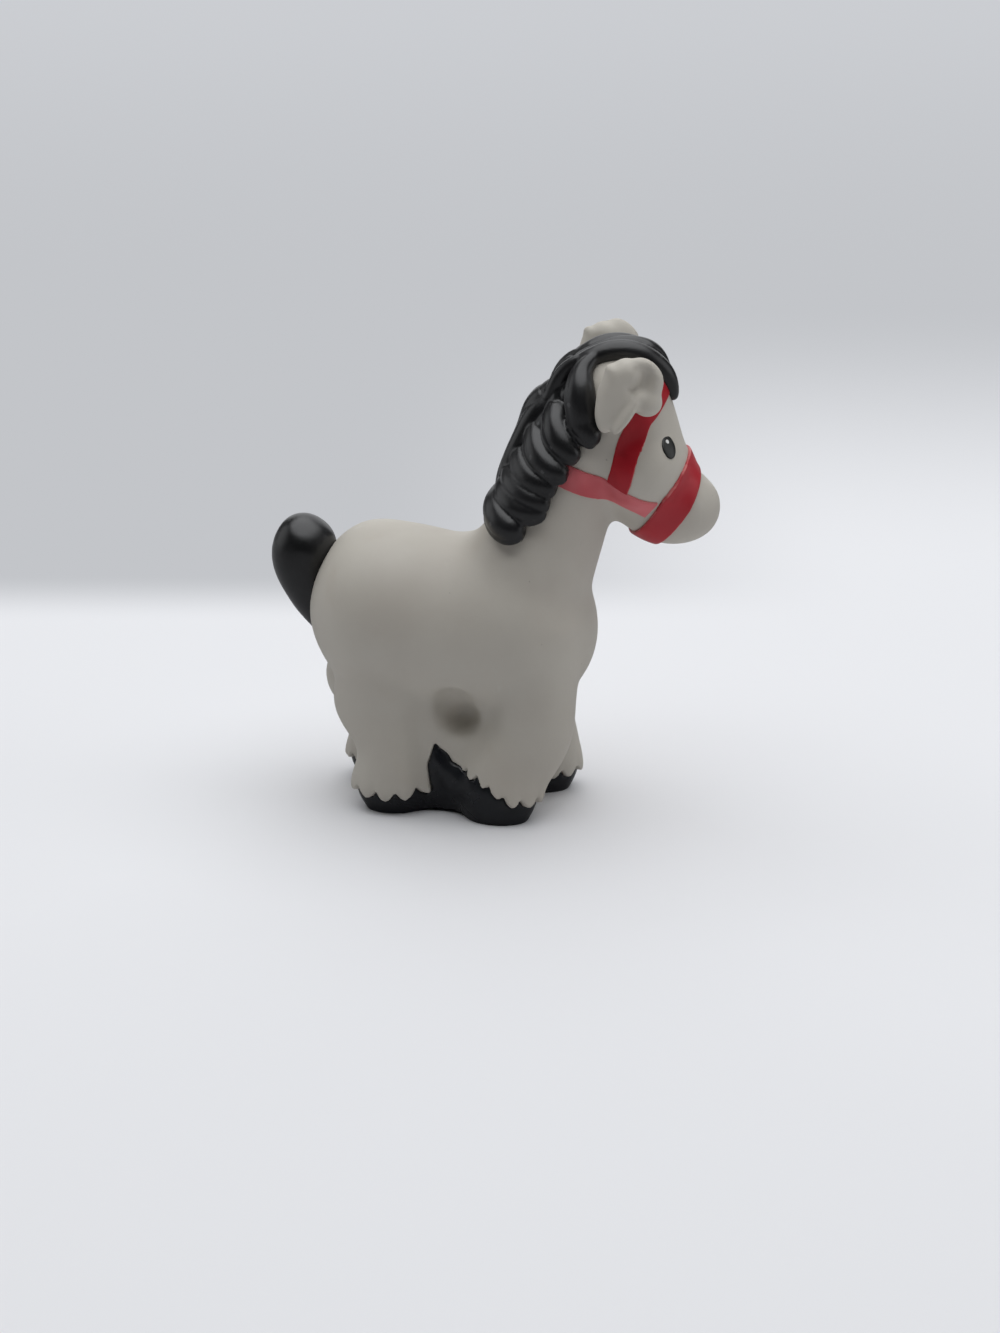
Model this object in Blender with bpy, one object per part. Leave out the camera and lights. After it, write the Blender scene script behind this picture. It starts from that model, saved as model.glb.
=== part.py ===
"""Toy horse figure: a chunky farm animal for toddlers, in mid stride, with its head turned to its left.

The grey body stands on a black base that carries the four hooves. The mane and the tail are
plugged into the body, the halter's straps lie on the head, and the eyes are inlaid.

Frame in metres: +X towards the chest, +Y to the horse's left, +Z up. The origin is on the floor,
under the web that joins the hooves.
"""

import bisect
import math

import bmesh
import bpy
from mathutils import Matrix, Vector
from mathutils.bvhtree import BVHTree

MM = 0.001
X_AXIS = Vector((1, 0, 0))
Y_AXIS = Vector((0, 1, 0))
Z_AXIS = Vector((0, 0, 1))


# Fits and mesh fineness
SEAT_GAP = 0.25 * MM
INLAY_GAP = 0.1 * MM
OVERRUN = 2.0 * MM
FORM_VOXEL = 0.9 * MM
DETAIL_VOXEL = 0.62 * MM
JOINT_SPREAD = 1.4 * MM
CREASE_SPREAD = 1.1 * MM
DETAIL_SPREAD = 0.42 * MM
RING_SIDES = 32
LOFT_STEPS = 30
LOFT_FINENESS = 10
END_SKIP = 0.6
BODY_TRIANGLES = 3600
MANE_TRIANGLES = 2080

# Trunk. Every form's rows give reach, climb, depth and width as shares
TRUNK_REAR = -29.3 * MM
TRUNK_HEIGHT = 30.0 * MM
TRUNK_LENGTH = 44.4 * MM
TRUNK_DEPTH = 27.0 * MM
TRUNK_WIDTH = 27.0 * MM
TRUNK_SIZE = (TRUNK_LENGTH, TRUNK_DEPTH, TRUNK_DEPTH, TRUNK_WIDTH)
TRUNK_END = 10.0 * MM
TRUNK_SHARES = (
    (0.00, 0.02, 0.86, 0.86),
    (0.18, 0.02, 1.00, 0.99),
    (0.34, 0.00, 1.01, 1.02),
    (0.52, -0.035, 1.00, 0.99),
    (0.70, 0.01, 1.02, 0.98),
    (0.86, 0.04, 0.98, 0.94),
    (1.00, 0.10, 0.86, 0.84),
)

# Neck, from inside the shoulders to the poll. Its root goes along with the trunk
NECK_ROOT_BACK = 9.1 * MM
NECK_ROOT_RISE = 4.0 * MM
NECK_ROOT = Vector((TRUNK_REAR + TRUNK_SIZE[0] - NECK_ROOT_BACK, 0, TRUNK_HEIGHT + NECK_ROOT_RISE))
NECK_LENGTH = 33.0 * MM
NECK_LEAN = math.radians(73)
NECK_ALONG = X_AXIS * math.cos(NECK_LEAN) + Z_AXIS * math.sin(NECK_LEAN)
NECK_CREST = Z_AXIS * math.cos(NECK_LEAN) - X_AXIS * math.sin(NECK_LEAN)
NECK_SIZE = (NECK_LENGTH, 17.6 * MM, 17.6 * MM, 17.6 * MM)
NECK_END = 7.0 * MM
NECK_SHARES = (
    (-0.20, 0.12, 0.95, 1.20),
    (0.00, 0.14, 1.18, 1.30),
    (0.30, 0.07, 1.00, 1.07),
    (0.55, 0.02, 0.87, 0.94),
    (0.80, -0.05, 0.79, 0.90),
    (1.00, -0.16, 0.66, 0.80),
)

# Head, from the crown over the brow and down to the nose. The crown goes along with the neck's end
CROWN_BACK = 1.05 * MM
CROWN_ASIDE = 1.0 * MM
CROWN_RISE = 8.14 * MM
CROWN = NECK_ROOT + NECK_ALONG * NECK_LENGTH + Vector((-CROWN_BACK, -CROWN_ASIDE, CROWN_RISE))
HEAD_SIZE = (20.9 * MM, -27.8 * MM, 16.0 * MM, 16.0 * MM)
HEAD_END = 7.0 * MM
HEAD_TURN = math.radians(20)
HEAD_SHARES = (
    (0.160, 0.010, 0.90, 0.92),
    (0.185, 0.227, 0.94, 0.98),
    (0.250, 0.455, 1.00, 0.98),
    (0.355, 0.680, 0.98, 0.90),
    (0.545, 0.850, 0.90, 0.84),
    (0.740, 0.900, 0.79, 0.82),
    (0.960, 0.890, 0.72, 0.78),
)
CHEEK_RADIUS = 6.8 * MM
CHEEK_SPREAD_SHARE = 0.19
CHEEK_REACH_SHARE = 0.33
CHEEK_CLIMB_SHARE = 0.64

# Ears: a pointed leaf with a hollow in its outer face, a lobe before the hollow and a fold down to the root
EAR_SIZE = (13.0 * MM, 13.0 * MM, 10.8 * MM, 5.0 * MM)
EAR_END = 4.4 * MM
EAR_TILT = math.radians(76)
EAR_SPLAY = math.radians(9)
EAR_ROOT_SHARES = (0.055, 0.395, 0.52)
EAR_SHARES = (
    (0.00, 0.00, 0.38, 0.80),
    (0.25, 0.07, 0.64, 0.95),
    (0.46, 0.11, 0.94, 1.00),
    (0.62, 0.11, 1.00, 0.96),
    (0.80, 0.08, 0.74, 0.82),
    (1.00, 0.03, 0.40, 0.62),
)
HOLLOW_SHARES = (0.270, 0.085, 0.79)
HOLLOW_RADII = (3.3 * MM, 3.2 * MM, 3.0 * MM)
LOBE_SHARES = (0.330, 0.222, 0.60)
LOBE_RADIUS = 2.25 * MM
FOLD_SHARES = (0.205, 0.285, 0.58)
FOLD_RADII = (3.9 * MM, 1.8 * MM, 2.2 * MM)
FOLD_TILT = math.radians(38)

# Legs: where each foot and hip is
HIP_HEIGHT = 32.0 * MM
FOOT_LENGTH = 13.0 * MM
FOOT_WIDTH = 0.385 * TRUNK_WIDTH
FORE_SIDES = (0.278 * TRUNK_WIDTH, 0.2 * TRUNK_WIDTH)
HIND_SIDES = (0.237 * TRUNK_WIDTH, 0.2 * TRUNK_WIDTH)
RIGHT_FORE_X = (1.8 * MM, 7.0 * MM)
LEFT_FORE_X = (5.3 * MM, 4.4 * MM)
RIGHT_HIND_X = (-15.2 * MM, -16.2 * MM)
LEFT_HIND_X = (-19.4 * MM, -20.1 * MM)
# Share of the height, of the way from foot to hip, of the foot's length and of its width
FORE_LEG_SHARES = (
    (-0.10, 0.00, 0.62, 0.56),
    (0.00, 0.00, 0.84, 0.80),
    (0.06, 0.00, 1.00, 0.98),
    (0.14, 0.00, 1.06, 1.03),
    (0.26, 0.30, 1.02, 0.96),
    (0.42, 0.90, 1.00, 0.98),
    (0.64, 1.00, 1.02, 1.10),
    (1.00, 1.00, 1.10, 1.20),
)
HIND_LEG_SHARES = (
    (-0.10, 0.00, 0.50, 0.44),
    (0.00, 0.00, 0.74, 0.70),
    (0.06, 0.00, 0.91, 0.90),
    (0.14, 0.00, 1.00, 1.01),
    (0.32, 0.00, 0.85, 0.92),
    (0.52, 1.40, 1.26, 1.06),
    (0.64, 1.00, 1.20, 1.16),
    (1.00, 1.00, 1.30, 1.30),
)

# Web that joins the four legs below the belly: height, length and width at each level as shares
WEB_CENTRE_X = -6.5 * MM
WEB_HEIGHT = 26.0 * MM
WEB_LENGTH = 24.0 * MM
WEB_WIDTH = 0.593 * TRUNK_WIDTH
WEB_SHARES = (
    (-0.02, 1.00, 0.94),
    (0.12, 1.00, 1.04),
    (0.42, 1.00, 1.08),
    (1.00, 1.00, 1.20),
)
# Dimple between the legs on each side: a shallow bowl with a deeper one at its lower front
DIMPLE_STARTS = ((-3.8 * MM, -1), (-6.2 * MM, 1))
DIMPLE_OFFSETS = ((0.0, 10.4 * MM, 15.6 * MM), (-2.0 * MM, 12.2 * MM, 17.0 * MM))
DIMPLE_RADII = ((2.9 * MM, 4.9 * MM, 2.5 * MM), (4.4 * MM, 4.4 * MM, 4.0 * MM))

# Black base: it stands this far inside the legs' outline, with a peg in each leg
HOOF_INSET = 0.35 * MM
PEG_RADIUS = 2.3 * MM
PEG_HEIGHT = 11.0 * MM
PEG_SIDES = 12

# Feathered edge: its height around each leg, from the rear by the outer side, as shares
FEATHER_HEIGHT = 10.0 * MM
FORE_FEATHER_SHARES = (0.80, 0.88, 0.84, 0.68, 0.50, 0.46, 0.45, 0.42, 0.42, 0.42, 0.60, 0.76)
HIND_FEATHER_SHARES = (0.48, 0.46, 0.43, 0.41, 0.43, 0.50, 0.50, 0.50, 0.46, 0.46, 0.46, 0.48)
FEATHER_DROP = 1.2 * MM
FORE_LOBES = 13
HIND_LOBES = 10
LOBE_STEPS = 4
FEATHER_RADII = (3.4 * MM, 4.2 * MM, 8.0 * MM)
# Arch of the black web between the legs, on each side: X and Z as shares of the web's length and height
RIGHT_ARCH_SHARES = (
    (-0.090, 0.155),
    (-0.112, 0.308),
    (-0.062, 0.430),
    (-0.029, 0.392),
    (0.021, 0.388),
    (0.053, 0.343),
    (0.110, 0.325),
    (0.188, 0.277),
)
LEFT_ARCH_SHARES = ((-0.270, 0.155), (-0.250, 0.270), (-0.120, 0.400), (0.220, 0.230))
ARCH_PEAK_SHARES = (-0.07, -0.05)
ARCH_HALF_WIDTH = 0.356 * TRUNK_WIDTH
ARCH_OVERLAP = 0.5 * MM
# Slab of the base under the body's middle
SLAB_ENDS = (-18.0 * MM, 5.0 * MM)
SLAB_HEIGHT = 2.9 * MM
SLAB_HALF_WIDTH = 0.348 * TRUNK_WIDTH

# Tail, from the top of its bulge to its tip, and the peg that holds it in the rump
TAIL_INSET = 2.3 * MM
TAIL_RISE = 13.0 * MM
TAIL_ROOT = Vector((TRUNK_REAR + TAIL_INSET, 0, TRUNK_HEIGHT + TAIL_RISE))
TAIL_SIZE = (-10.0 * MM, 22.0 * MM, 10.4 * MM, 10.4 * MM)
TAIL_END = 4.0 * MM
TAIL_SHARES = (
    (0.00, 0.00, 0.90, 0.90),
    (0.32, -0.20, 1.00, 1.00),
    (0.17, -0.46, 0.85, 0.89),
    (-0.18, -0.74, 0.60, 0.68),
    (-0.34, -1.00, 0.40, 0.46),
)
TAIL_PEG_HEIGHT = TAIL_ROOT.z - 0.3 * TAIL_SIZE[1]
TAIL_PEG_DEPTH = 5.8 * MM
TAIL_PEG_RADIUS = 3.0 * MM
TAIL_PEG_ENDS = (TRUNK_REAR + TAIL_PEG_DEPTH, TRUNK_REAR)
TAIL_TRIANGLES = 500

# Halter: paths of the straps' middle lines on the right side, as shares of the head
STRAP_THICKNESS = 0.6 * MM
STRAP_LIFT = 0.2 * MM
STRAP_BEVEL_SHARE = 0.28
STRAP_CORE_SHARES = (0.34, 0.66, 0.0)
CROWN_CORE_SHARES = (0.22, 0.40, 0.0)
NOSEBAND_WIDTH = 4.7 * MM
NOSEBAND_MIDDLE_SHARES = (0.56, 0.82, 0.0)
NOSEBAND_LEAN = math.radians(-29)
NOSEBAND_STEPS = 26
CROWN_STRAP_WIDTH = 3.8 * MM
CROWN_STRAP_SHARES = (
    (0.135, 0.668, -0.50),
    (0.187, 0.535, -0.51),
    (0.245, 0.422, -0.488),
    (0.295, 0.335, -0.472),
    (0.367, 0.281, -0.43),
    (0.440, 0.226, -0.315),
    (0.490, 0.195, -0.16),
    (0.500, 0.190, 0.00),
)
CROWN_STRAP_STEPS = 12
JAW_STRAP_WIDTH = 3.7 * MM
# The head turns to the left, so the left strap is shorter
RIGHT_JAW_STRAP_SHARES = (
    (-0.30, 0.630, -0.30),
    (-0.16, 0.665, -0.375),
    (0.000, 0.718, -0.410),
    (0.160, 0.770, -0.435),
    (0.290, 0.818, -0.442),
    (0.385, 0.853, -0.428),
)
LEFT_JAW_STRAP_SHARES = (
    (-0.02, 0.712, 0.410),
    (0.080, 0.744, 0.422),
    (0.180, 0.777, 0.436),
    (0.290, 0.818, 0.442),
    (0.385, 0.853, 0.428),
)
JAW_STRAP_STEPS = 12

# Eyes
EYE_CORE_SHARES = (0.26, 0.52, 0.0)
EYE_SHARES = (0.505, 0.500, 0.443)
EYE_HEIGHT = 3.7 * MM
EYE_WIDTH = 2.6 * MM
EYE_DEPTH = 0.8 * MM
EYE_DOME = 0.25 * MM
EYE_TURN = math.radians(17)
# Height and breadth of each ring of the dome, as shares
EYE_DOME_SHARES = ((0.0, 1.0), (0.6, 0.8), (0.9, 0.5), (1.0, 0.2))
EYE_SIDES = 18
GLINT_RADIUS = 0.42 * MM
GLINT_OFFSET_SHARES = (0.10, 0.20)
GLINT_RISE = 0.26 * MM
GLINT_DEPTH = 0.35 * MM
GLINT_SIDES = 12

# Mane: a rail along the crest, from the brow to the withers
BROW_SHARES = (0.19, 0.24, 0.0)
RAIL_BROW_ANGLES = (-6, 25, 58, 92, 122)
RAIL_NECK_SHARES = (0.93, 0.79, 0.64, 0.49, 0.34)
MANE_VOXEL = 0.5 * MM
MANE_SPREAD = 0.22 * MM
LOCK_RISE = 0.9 * MM
LOCK_FLATNESS = 0.86
LOCK_TIP_SHARE = 0.04
LOCK_TIP_POWER = 6
LOCK_SIDES = 12
LOCK_FINENESS = 3
LOCK_WIDTH = 4.6 * MM
LOCK_SHARES = (0.56, 0.84, 1.00, 1.00, 0.92, 0.66)
LOCK_WIDTH_SHARES = (1.00, 1.00, 1.00, 1.00, 1.00, 1.00, 1.20)
# How much higher each lock stands at its root
LOCK_ROOT_SHARES = (1.0, 2.0, 2.8, 2.2, 1.8, 1.4, 1.0)
# Each lock: shares along the rail and angles to the side, in degrees
LOCK_PATHS = (
    ((0.42, 10), (0.47, 30), (0.50, 53), (0.53, 74), (0.57, 93), (0.61, 107)),
    ((0.48, 4), (0.53, 20), (0.57, 38), (0.61, 58), (0.65, 76), (0.68, 95)),
    ((0.56, 2), (0.63, 12), (0.68, 32), (0.72, 55), (0.74, 75), (0.74, 90)),
    ((0.66, 2), (0.73, 10), (0.78, 30), (0.80, 53), (0.80, 70), (0.80, 84)),
    ((0.75, 2), (0.81, 10), (0.85, 31), (0.86, 53), (0.86, 69), (0.85, 82)),
    ((0.82, 2), (0.87, 13), (0.90, 34), (0.91, 53), (0.90, 69), (0.88, 81)),
    ((0.88, 2), (0.93, 19), (0.965, 40), (0.98, 56), (0.97, 69)),
)
CREST_WIDTH = 5.6 * MM
CREST_PLACE_SHARES = (0.03, 0.10, 0.19, 0.30, 0.40, 0.50, 0.55, 0.60, 0.70, 0.80, 0.90, 1.00)
CREST_RISE_SHARES = (0.50, 0.70, 1.00, 0.70, 0.45, 0.55, 2.00, 2.20, 1.55, 1.30, 0.90, 0.25)
CREST_SHARES = (0.28, 0.45, 0.62, 0.50, 0.42, 0.50, 1.00, 1.12, 0.95, 0.87, 0.74, 0.30)
FORELOCK_WIDTH = 4.8 * MM
FORELOCK_RISE = 0.35 * MM
FORELOCK_SHARES = (0.50, 0.68, 0.76, 0.76, 0.70, 0.50)
FORELOCK_PATHS = (
    ((0.58, 9), (0.46, 14), (0.34, 18), (0.21, 19), (0.09, 15), (-0.02, 9)),
)

COLOURS = {
    "vinyl_grey": (0.43, 0.415, 0.385, 0.55),
    "hair_black": (0.012, 0.012, 0.014, 0.35),
    "hoof_black": (0.012, 0.014, 0.017, 0.32),
    "halter_red": (0.40, 0.010, 0.025, 0.40),
    "eye_black": (0.02, 0.02, 0.018, 0.30),
    "glint_white": (0.80, 0.80, 0.80, 0.40),
}


def material(name):
    """The Principled material of that name, made once."""
    if name not in bpy.data.materials:
        made = bpy.data.materials.new(name)
        made.use_nodes = True
        shader = made.node_tree.nodes["Principled BSDF"]
        red, green, blue, roughness = COLOURS[name]
        shader.inputs["Base Color"].default_value = (red, green, blue, 1)
        shader.inputs["Roughness"].default_value = roughness
        shader.inputs["Metallic"].default_value = 0
    return bpy.data.materials[name]


def new_object(name, mesh):
    """A linked object that holds this mesh."""
    obj = bpy.data.objects.new(name, mesh)
    bpy.context.scene.collection.objects.link(obj)
    return obj


def object_from(name, form):
    """An object made from a bmesh, which is freed."""
    mesh = bpy.data.meshes.new(name)
    bmesh.ops.recalc_face_normals(form, faces=form.faces)
    form.to_mesh(mesh)
    form.free()
    return new_object(name, mesh)


def settle(obj):
    """Replaces the object's mesh by what its modifiers make of it."""
    graph = bpy.context.evaluated_depsgraph_get()
    mesh = bpy.data.meshes.new_from_object(obj.evaluated_get(graph))
    obj.modifiers.clear()
    old = obj.data
    obj.data = mesh
    bpy.data.meshes.remove(old)
    return obj


def copy_of(obj, name):
    return new_object(name, obj.data.copy())


def discard(*objects):
    for obj in objects:
        bpy.data.objects.remove(obj)


def grown(obj, distance):
    """A copy whose surface stands out by the distance along its normals."""
    copy = copy_of(obj, obj.name + "_grown")
    swell = copy.modifiers.new("swell", "DISPLACE")
    swell.direction = "NORMAL"
    swell.mid_level = 0
    swell.strength = distance
    return settle(copy)


def combine(obj, other, operation):
    """Applies a Boolean with the other object, which stays."""
    boolean = obj.modifiers.new(operation.lower(), "BOOLEAN")
    boolean.operation = operation
    boolean.solver = "EXACT"
    boolean.object = other
    return settle(obj)


def keep_largest(obj):
    """Drops the loose crumbs that a cut leaves, so that one body is left."""
    form = bmesh.new()
    form.from_mesh(obj.data)
    islands = []
    left = set(form.faces)
    while left:
        island = {left.pop()}
        front = list(island)
        while front:
            face = front.pop()
            near = {other for edge in face.edges for other in edge.link_faces} & left
            left -= near
            island |= near
            front.extend(near)
        islands.append(island)
    islands.sort(key=lambda faces: sum(face.calc_area() for face in faces))
    crumbs = [face for island in islands[:-1] for face in island]
    bmesh.ops.delete(form, geom=crumbs, context="FACES")
    form.to_mesh(obj.data)
    form.free()
    return obj


def spline(rows, steps):
    """Catmull-Rom rows through the given rows of numbers, at steps + 1 even parameters."""
    last = len(rows) - 1
    made = []
    for step in range(steps + 1):
        where = last * step / steps
        k = min(int(where), last - 1)
        t = where - k
        before, start, end, after = (
            rows[max(k - 1, 0)],
            rows[k],
            rows[k + 1],
            rows[min(k + 2, last)],
        )
        made.append(
            tuple(
                0.5
                * (
                    2 * b
                    + (c - a) * t
                    + (2 * a - 5 * b + 4 * c - d) * t * t
                    + (3 * b - a - 3 * c + d) * t**3
                )
                for a, b, c, d in zip(before, start, end, after)
            )
        )
    return made


def sweep(form, stations, side, sides=RING_SIDES):
    """Adds a closed sweep to the bmesh. A station is a centre, a half depth and a half width to the side."""
    rings = []
    centres = [station[0] for station in stations]
    for k, (centre, half_depth, half_width) in enumerate(stations):
        along = (centres[min(k + 1, len(centres) - 1)] - centres[max(k - 1, 0)]).normalized()
        rise = along.cross(side).normalized()
        ring = []
        for n in range(sides):
            angle = 2 * math.pi * n / sides
            point = centre + side * half_width * math.cos(angle) + rise * half_depth * math.sin(angle)
            ring.append(form.verts.new(point))
        rings.append(ring)
    for ring, following in zip(rings, rings[1:]):
        for n in range(sides):
            m = (n + 1) % sides
            form.faces.new((ring[n], ring[m], following[m], following[n]))
    form.faces.new(rings[0][::-1])
    form.faces.new(rings[-1])


def loft(form, origin, forward, upward, size, shares, end, steps=LOFT_STEPS, sides=RING_SIDES):
    """Adds a form with rounded ends along a path in the plane of forward and upward."""
    reach, climb, depth, width = size
    rows = spline(shares, LOFT_FINENESS * len(shares))
    centres = [origin + forward * (reach * row[0]) + upward * (climb * row[1]) for row in rows]
    gone = [0.0]
    for centre, following in zip(centres, centres[1:]):
        gone.append(gone[-1] + (following - centre).length)
    stations = []
    for step in range(steps + 1):
        place = gone[-1] * (1 - math.cos(math.pi * (step + END_SKIP) / (steps + 2 * END_SKIP))) / 2
        k = min(bisect.bisect_right(gone, place), len(gone) - 1)
        mix = (place - gone[k - 1]) / (gone[k] - gone[k - 1])
        centre = centres[k - 1].lerp(centres[k], mix)
        row = [a + (b - a) * mix for a, b in zip(rows[k - 1], rows[k])]
        flatness = max(0.0, 1 - min(place, gone[-1] - place) / end)
        roundness = math.sqrt(1 - flatness * flatness)
        stations.append((centre, depth / 2 * row[2] * roundness, width / 2 * row[3] * roundness))
    sweep(form, stations, upward.cross(forward), sides)


def ball(form, centre, radii, turn=Matrix()):
    """Adds an ellipsoid."""
    bmesh.ops.create_icosphere(
        form,
        subdivisions=4,
        radius=1,
        matrix=Matrix.Translation(centre) @ turn @ Matrix.Diagonal((*radii, 1)),
    )


def skin(name, form, voxel, spread):
    """One smooth skin over every overlapping form, with its creases spread out."""
    obj = object_from(name, form)
    wrap = obj.modifiers.new("wrap", "REMESH")
    wrap.mode = "VOXEL"
    wrap.voxel_size = voxel
    smooth = obj.modifiers.new("smooth", "SMOOTH")
    smooth.factor = 0.5
    smooth.iterations = round((2 * spread / voxel) ** 2)
    return settle(obj)


def thin_out(obj, triangles):
    """Collapses the mesh to about that many triangles."""
    count = sum(len(face.vertices) - 2 for face in obj.data.polygons)
    collapse = obj.modifiers.new("thin", "DECIMATE")
    collapse.ratio = min(1.0, triangles / count)
    return settle(obj)


def head_frame():
    """Crown point, level direction to the front of the head, and its left."""
    level = X_AXIS * math.cos(HEAD_TURN) + Y_AXIS * math.sin(HEAD_TURN)
    return CROWN, level, Z_AXIS.cross(level)


def in_head(reach_share, climb_share, side_share):
    """A point given as shares of the head's reach, drop and width."""
    crown, level, side = head_frame()
    reach, climb, _, width = HEAD_SIZE
    return (
        crown
        + level * (reach * reach_share)
        + Z_AXIS * (climb * climb_share)
        + side * (width * side_share)
    )


def legs():
    """Side sign, foot and hip positions and profile of each leg."""
    return (
        (-1, RIGHT_FORE_X, FORE_SIDES, FORE_LEG_SHARES),
        (1, LEFT_FORE_X, FORE_SIDES, FORE_LEG_SHARES),
        (-1, RIGHT_HIND_X, HIND_SIDES, HIND_LEG_SHARES),
        (1, LEFT_HIND_X, HIND_SIDES, HIND_LEG_SHARES),
    )


def add_leg(form, leg):
    """Adds one leg from the floor up into the trunk."""
    sign, places, sides, shares = leg
    stations = []
    for height, way, length, width in spline(shares, LOFT_STEPS):
        x = places[0] + (places[1] - places[0]) * way
        y = sign * (sides[0] + (sides[1] - sides[0]) * way)
        centre = Vector((x, y, HIP_HEIGHT * height))
        stations.append((centre, FOOT_LENGTH / 2 * length, FOOT_WIDTH / 2 * width))
    sweep(form, stations, -Y_AXIS)


def core_form():
    """The trunk, neck, head, legs and web under one smooth skin."""
    form = bmesh.new()
    trunk_rear = Vector((TRUNK_REAR, 0, TRUNK_HEIGHT))
    loft(form, trunk_rear, X_AXIS, Z_AXIS, TRUNK_SIZE, TRUNK_SHARES, TRUNK_END)
    loft(form, NECK_ROOT, NECK_ALONG, NECK_CREST, NECK_SIZE, NECK_SHARES, NECK_END)
    crown, level, side = head_frame()
    loft(form, crown, level, Z_AXIS, HEAD_SIZE, HEAD_SHARES, HEAD_END)
    for sign in (-1, 1):
        cheek = in_head(CHEEK_REACH_SHARE, CHEEK_CLIMB_SHARE, sign * CHEEK_SPREAD_SHARE)
        ball(form, cheek, (CHEEK_RADIUS,) * 3)
    for leg in legs():
        add_leg(form, leg)
    web = [
        (
            Vector((WEB_CENTRE_X, 0, WEB_HEIGHT * height)),
            WEB_LENGTH / 2 * length,
            WEB_WIDTH / 2 * width,
        )
        for height, length, width in spline(WEB_SHARES, 20)
    ]
    sweep(form, web, -Y_AXIS)
    core = skin("core", form, FORM_VOXEL, JOINT_SPREAD)
    for start, sign in DIMPLE_STARTS:
        for (along, aside, above), radii in zip(DIMPLE_OFFSETS, DIMPLE_RADII):
            dimple = bmesh.new()
            ball(dimple, Vector((start + along, sign * aside, above)), radii)
            dimple = object_from("dimple", dimple)
            combine(core, dimple, "DIFFERENCE")
            discard(dimple)
    cut = bmesh.new()
    cut.from_mesh(core.data)
    discard(core)
    return skin("core", cut, FORM_VOXEL, CREASE_SPREAD)


def ear(sign):
    """One ear: a leaf on the side of the head, hollowed from outside, with a lobe."""
    _, level, side = head_frame()
    outward = side * sign
    up = level * math.cos(EAR_TILT) + Z_AXIS * math.sin(EAR_TILT)
    up = up * math.cos(EAR_SPLAY) + outward * math.sin(EAR_SPLAY)
    ahead = level * math.sin(EAR_TILT) - Z_AXIS * math.cos(EAR_TILT)
    reach, climb, across = EAR_ROOT_SHARES
    leaf = bmesh.new()
    loft(leaf, in_head(reach, climb, sign * across), up, ahead, EAR_SIZE, EAR_SHARES, EAR_END)
    leaf = object_from("leaf", leaf)
    reach, climb, across = HOLLOW_SHARES
    hollow = bmesh.new()
    turn = Matrix((level, Z_AXIS, side)).transposed().to_4x4()
    ball(hollow, in_head(reach, climb, sign * across), HOLLOW_RADII, turn)
    hollow = object_from("hollow", hollow)
    combine(leaf, hollow, "DIFFERENCE")
    discard(hollow)
    reach, climb, across = LOBE_SHARES
    made = bmesh.new()
    made.from_mesh(leaf.data)
    ball(made, in_head(reach, climb, sign * across), (LOBE_RADIUS,) * 3)
    reach, climb, across = FOLD_SHARES
    along = level * math.cos(FOLD_TILT) + Z_AXIS * math.sin(FOLD_TILT)
    turn = Matrix((along, side.cross(along), side)).transposed().to_4x4()
    ball(made, in_head(reach, climb, sign * across), FOLD_RADII, turn)
    discard(leaf)
    return made


def body_form(core):
    """The whole grey form with its ears, before anything is cut out of it."""
    form = bmesh.new()
    form.from_mesh(core.data)
    for sign in (-1, 1):
        part = ear(sign)
        mesh = bpy.data.meshes.new("ear")
        part.to_mesh(mesh)
        part.free()
        form.from_mesh(mesh)
    return skin("body", form, DETAIL_VOXEL, DETAIL_SPREAD)


def feather_form(leg, drop):
    """A cup around one foot whose rim follows the feathered edge; what it covers is black."""
    sign, places, sides, shares = leg
    fore = shares is FORE_LEG_SHARES
    heights = FORE_FEATHER_SHARES if fore else HIND_FEATHER_SHARES
    lobes = FORE_LOBES if fore else HIND_LOBES
    count = lobes * LOBE_STEPS
    form = bmesh.new()
    floor = -OVERRUN
    levels = min(heights) * FEATHER_HEIGHT - FEATHER_DROP
    rings = []
    for ring, radius in enumerate((*FEATHER_RADII[:-1], FEATHER_RADII[-1] - drop)):
        verts = []
        for n in range(count):
            turn = n / count
            where = turn * len(heights)
            k = int(where)
            mix = where - k
            mix = mix * mix * (3 - 2 * mix)
            rim = heights[k] + (heights[(k + 1) % len(heights)] - heights[k]) * mix
            lobe = abs(math.sin(math.pi * turn * lobes))
            height = levels if ring == 0 else rim * FEATHER_HEIGHT - FEATHER_DROP * lobe
            angle = sign * 2 * math.pi * (0.5 - turn)
            x = places[0] + radius * math.cos(angle)
            y = sign * sides[0] + radius * math.sin(angle)
            verts.append(form.verts.new((x, y, height - drop)))
        rings.append(verts)
    rings.append([form.verts.new((vert.co.x, vert.co.y, floor)) for vert in rings[-1]])
    for ring, following in zip(rings, rings[1:]):
        for n in range(count):
            m = (n + 1) % count
            form.faces.new((ring[n], ring[m], following[m], following[n]))
    form.faces.new(rings[0])
    form.faces.new(rings[-1])
    bmesh.ops.triangulate(form, faces=form.faces, quad_method="FIXED")
    return object_from("feather", form)


def prism(name, outline, ends):
    """A prism along Y between its two ends, whose outline is given in X and Z."""
    form = bmesh.new()
    sides = [[form.verts.new((x, y, z)) for x, z in outline] for y in ends]
    for k in range(len(outline)):
        m = (k + 1) % len(outline)
        form.faces.new((sides[0][k], sides[0][m], sides[1][m], sides[1][k]))
    form.faces.new(sides[0])
    form.faces.new(sides[1])
    return object_from(name, form)


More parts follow.
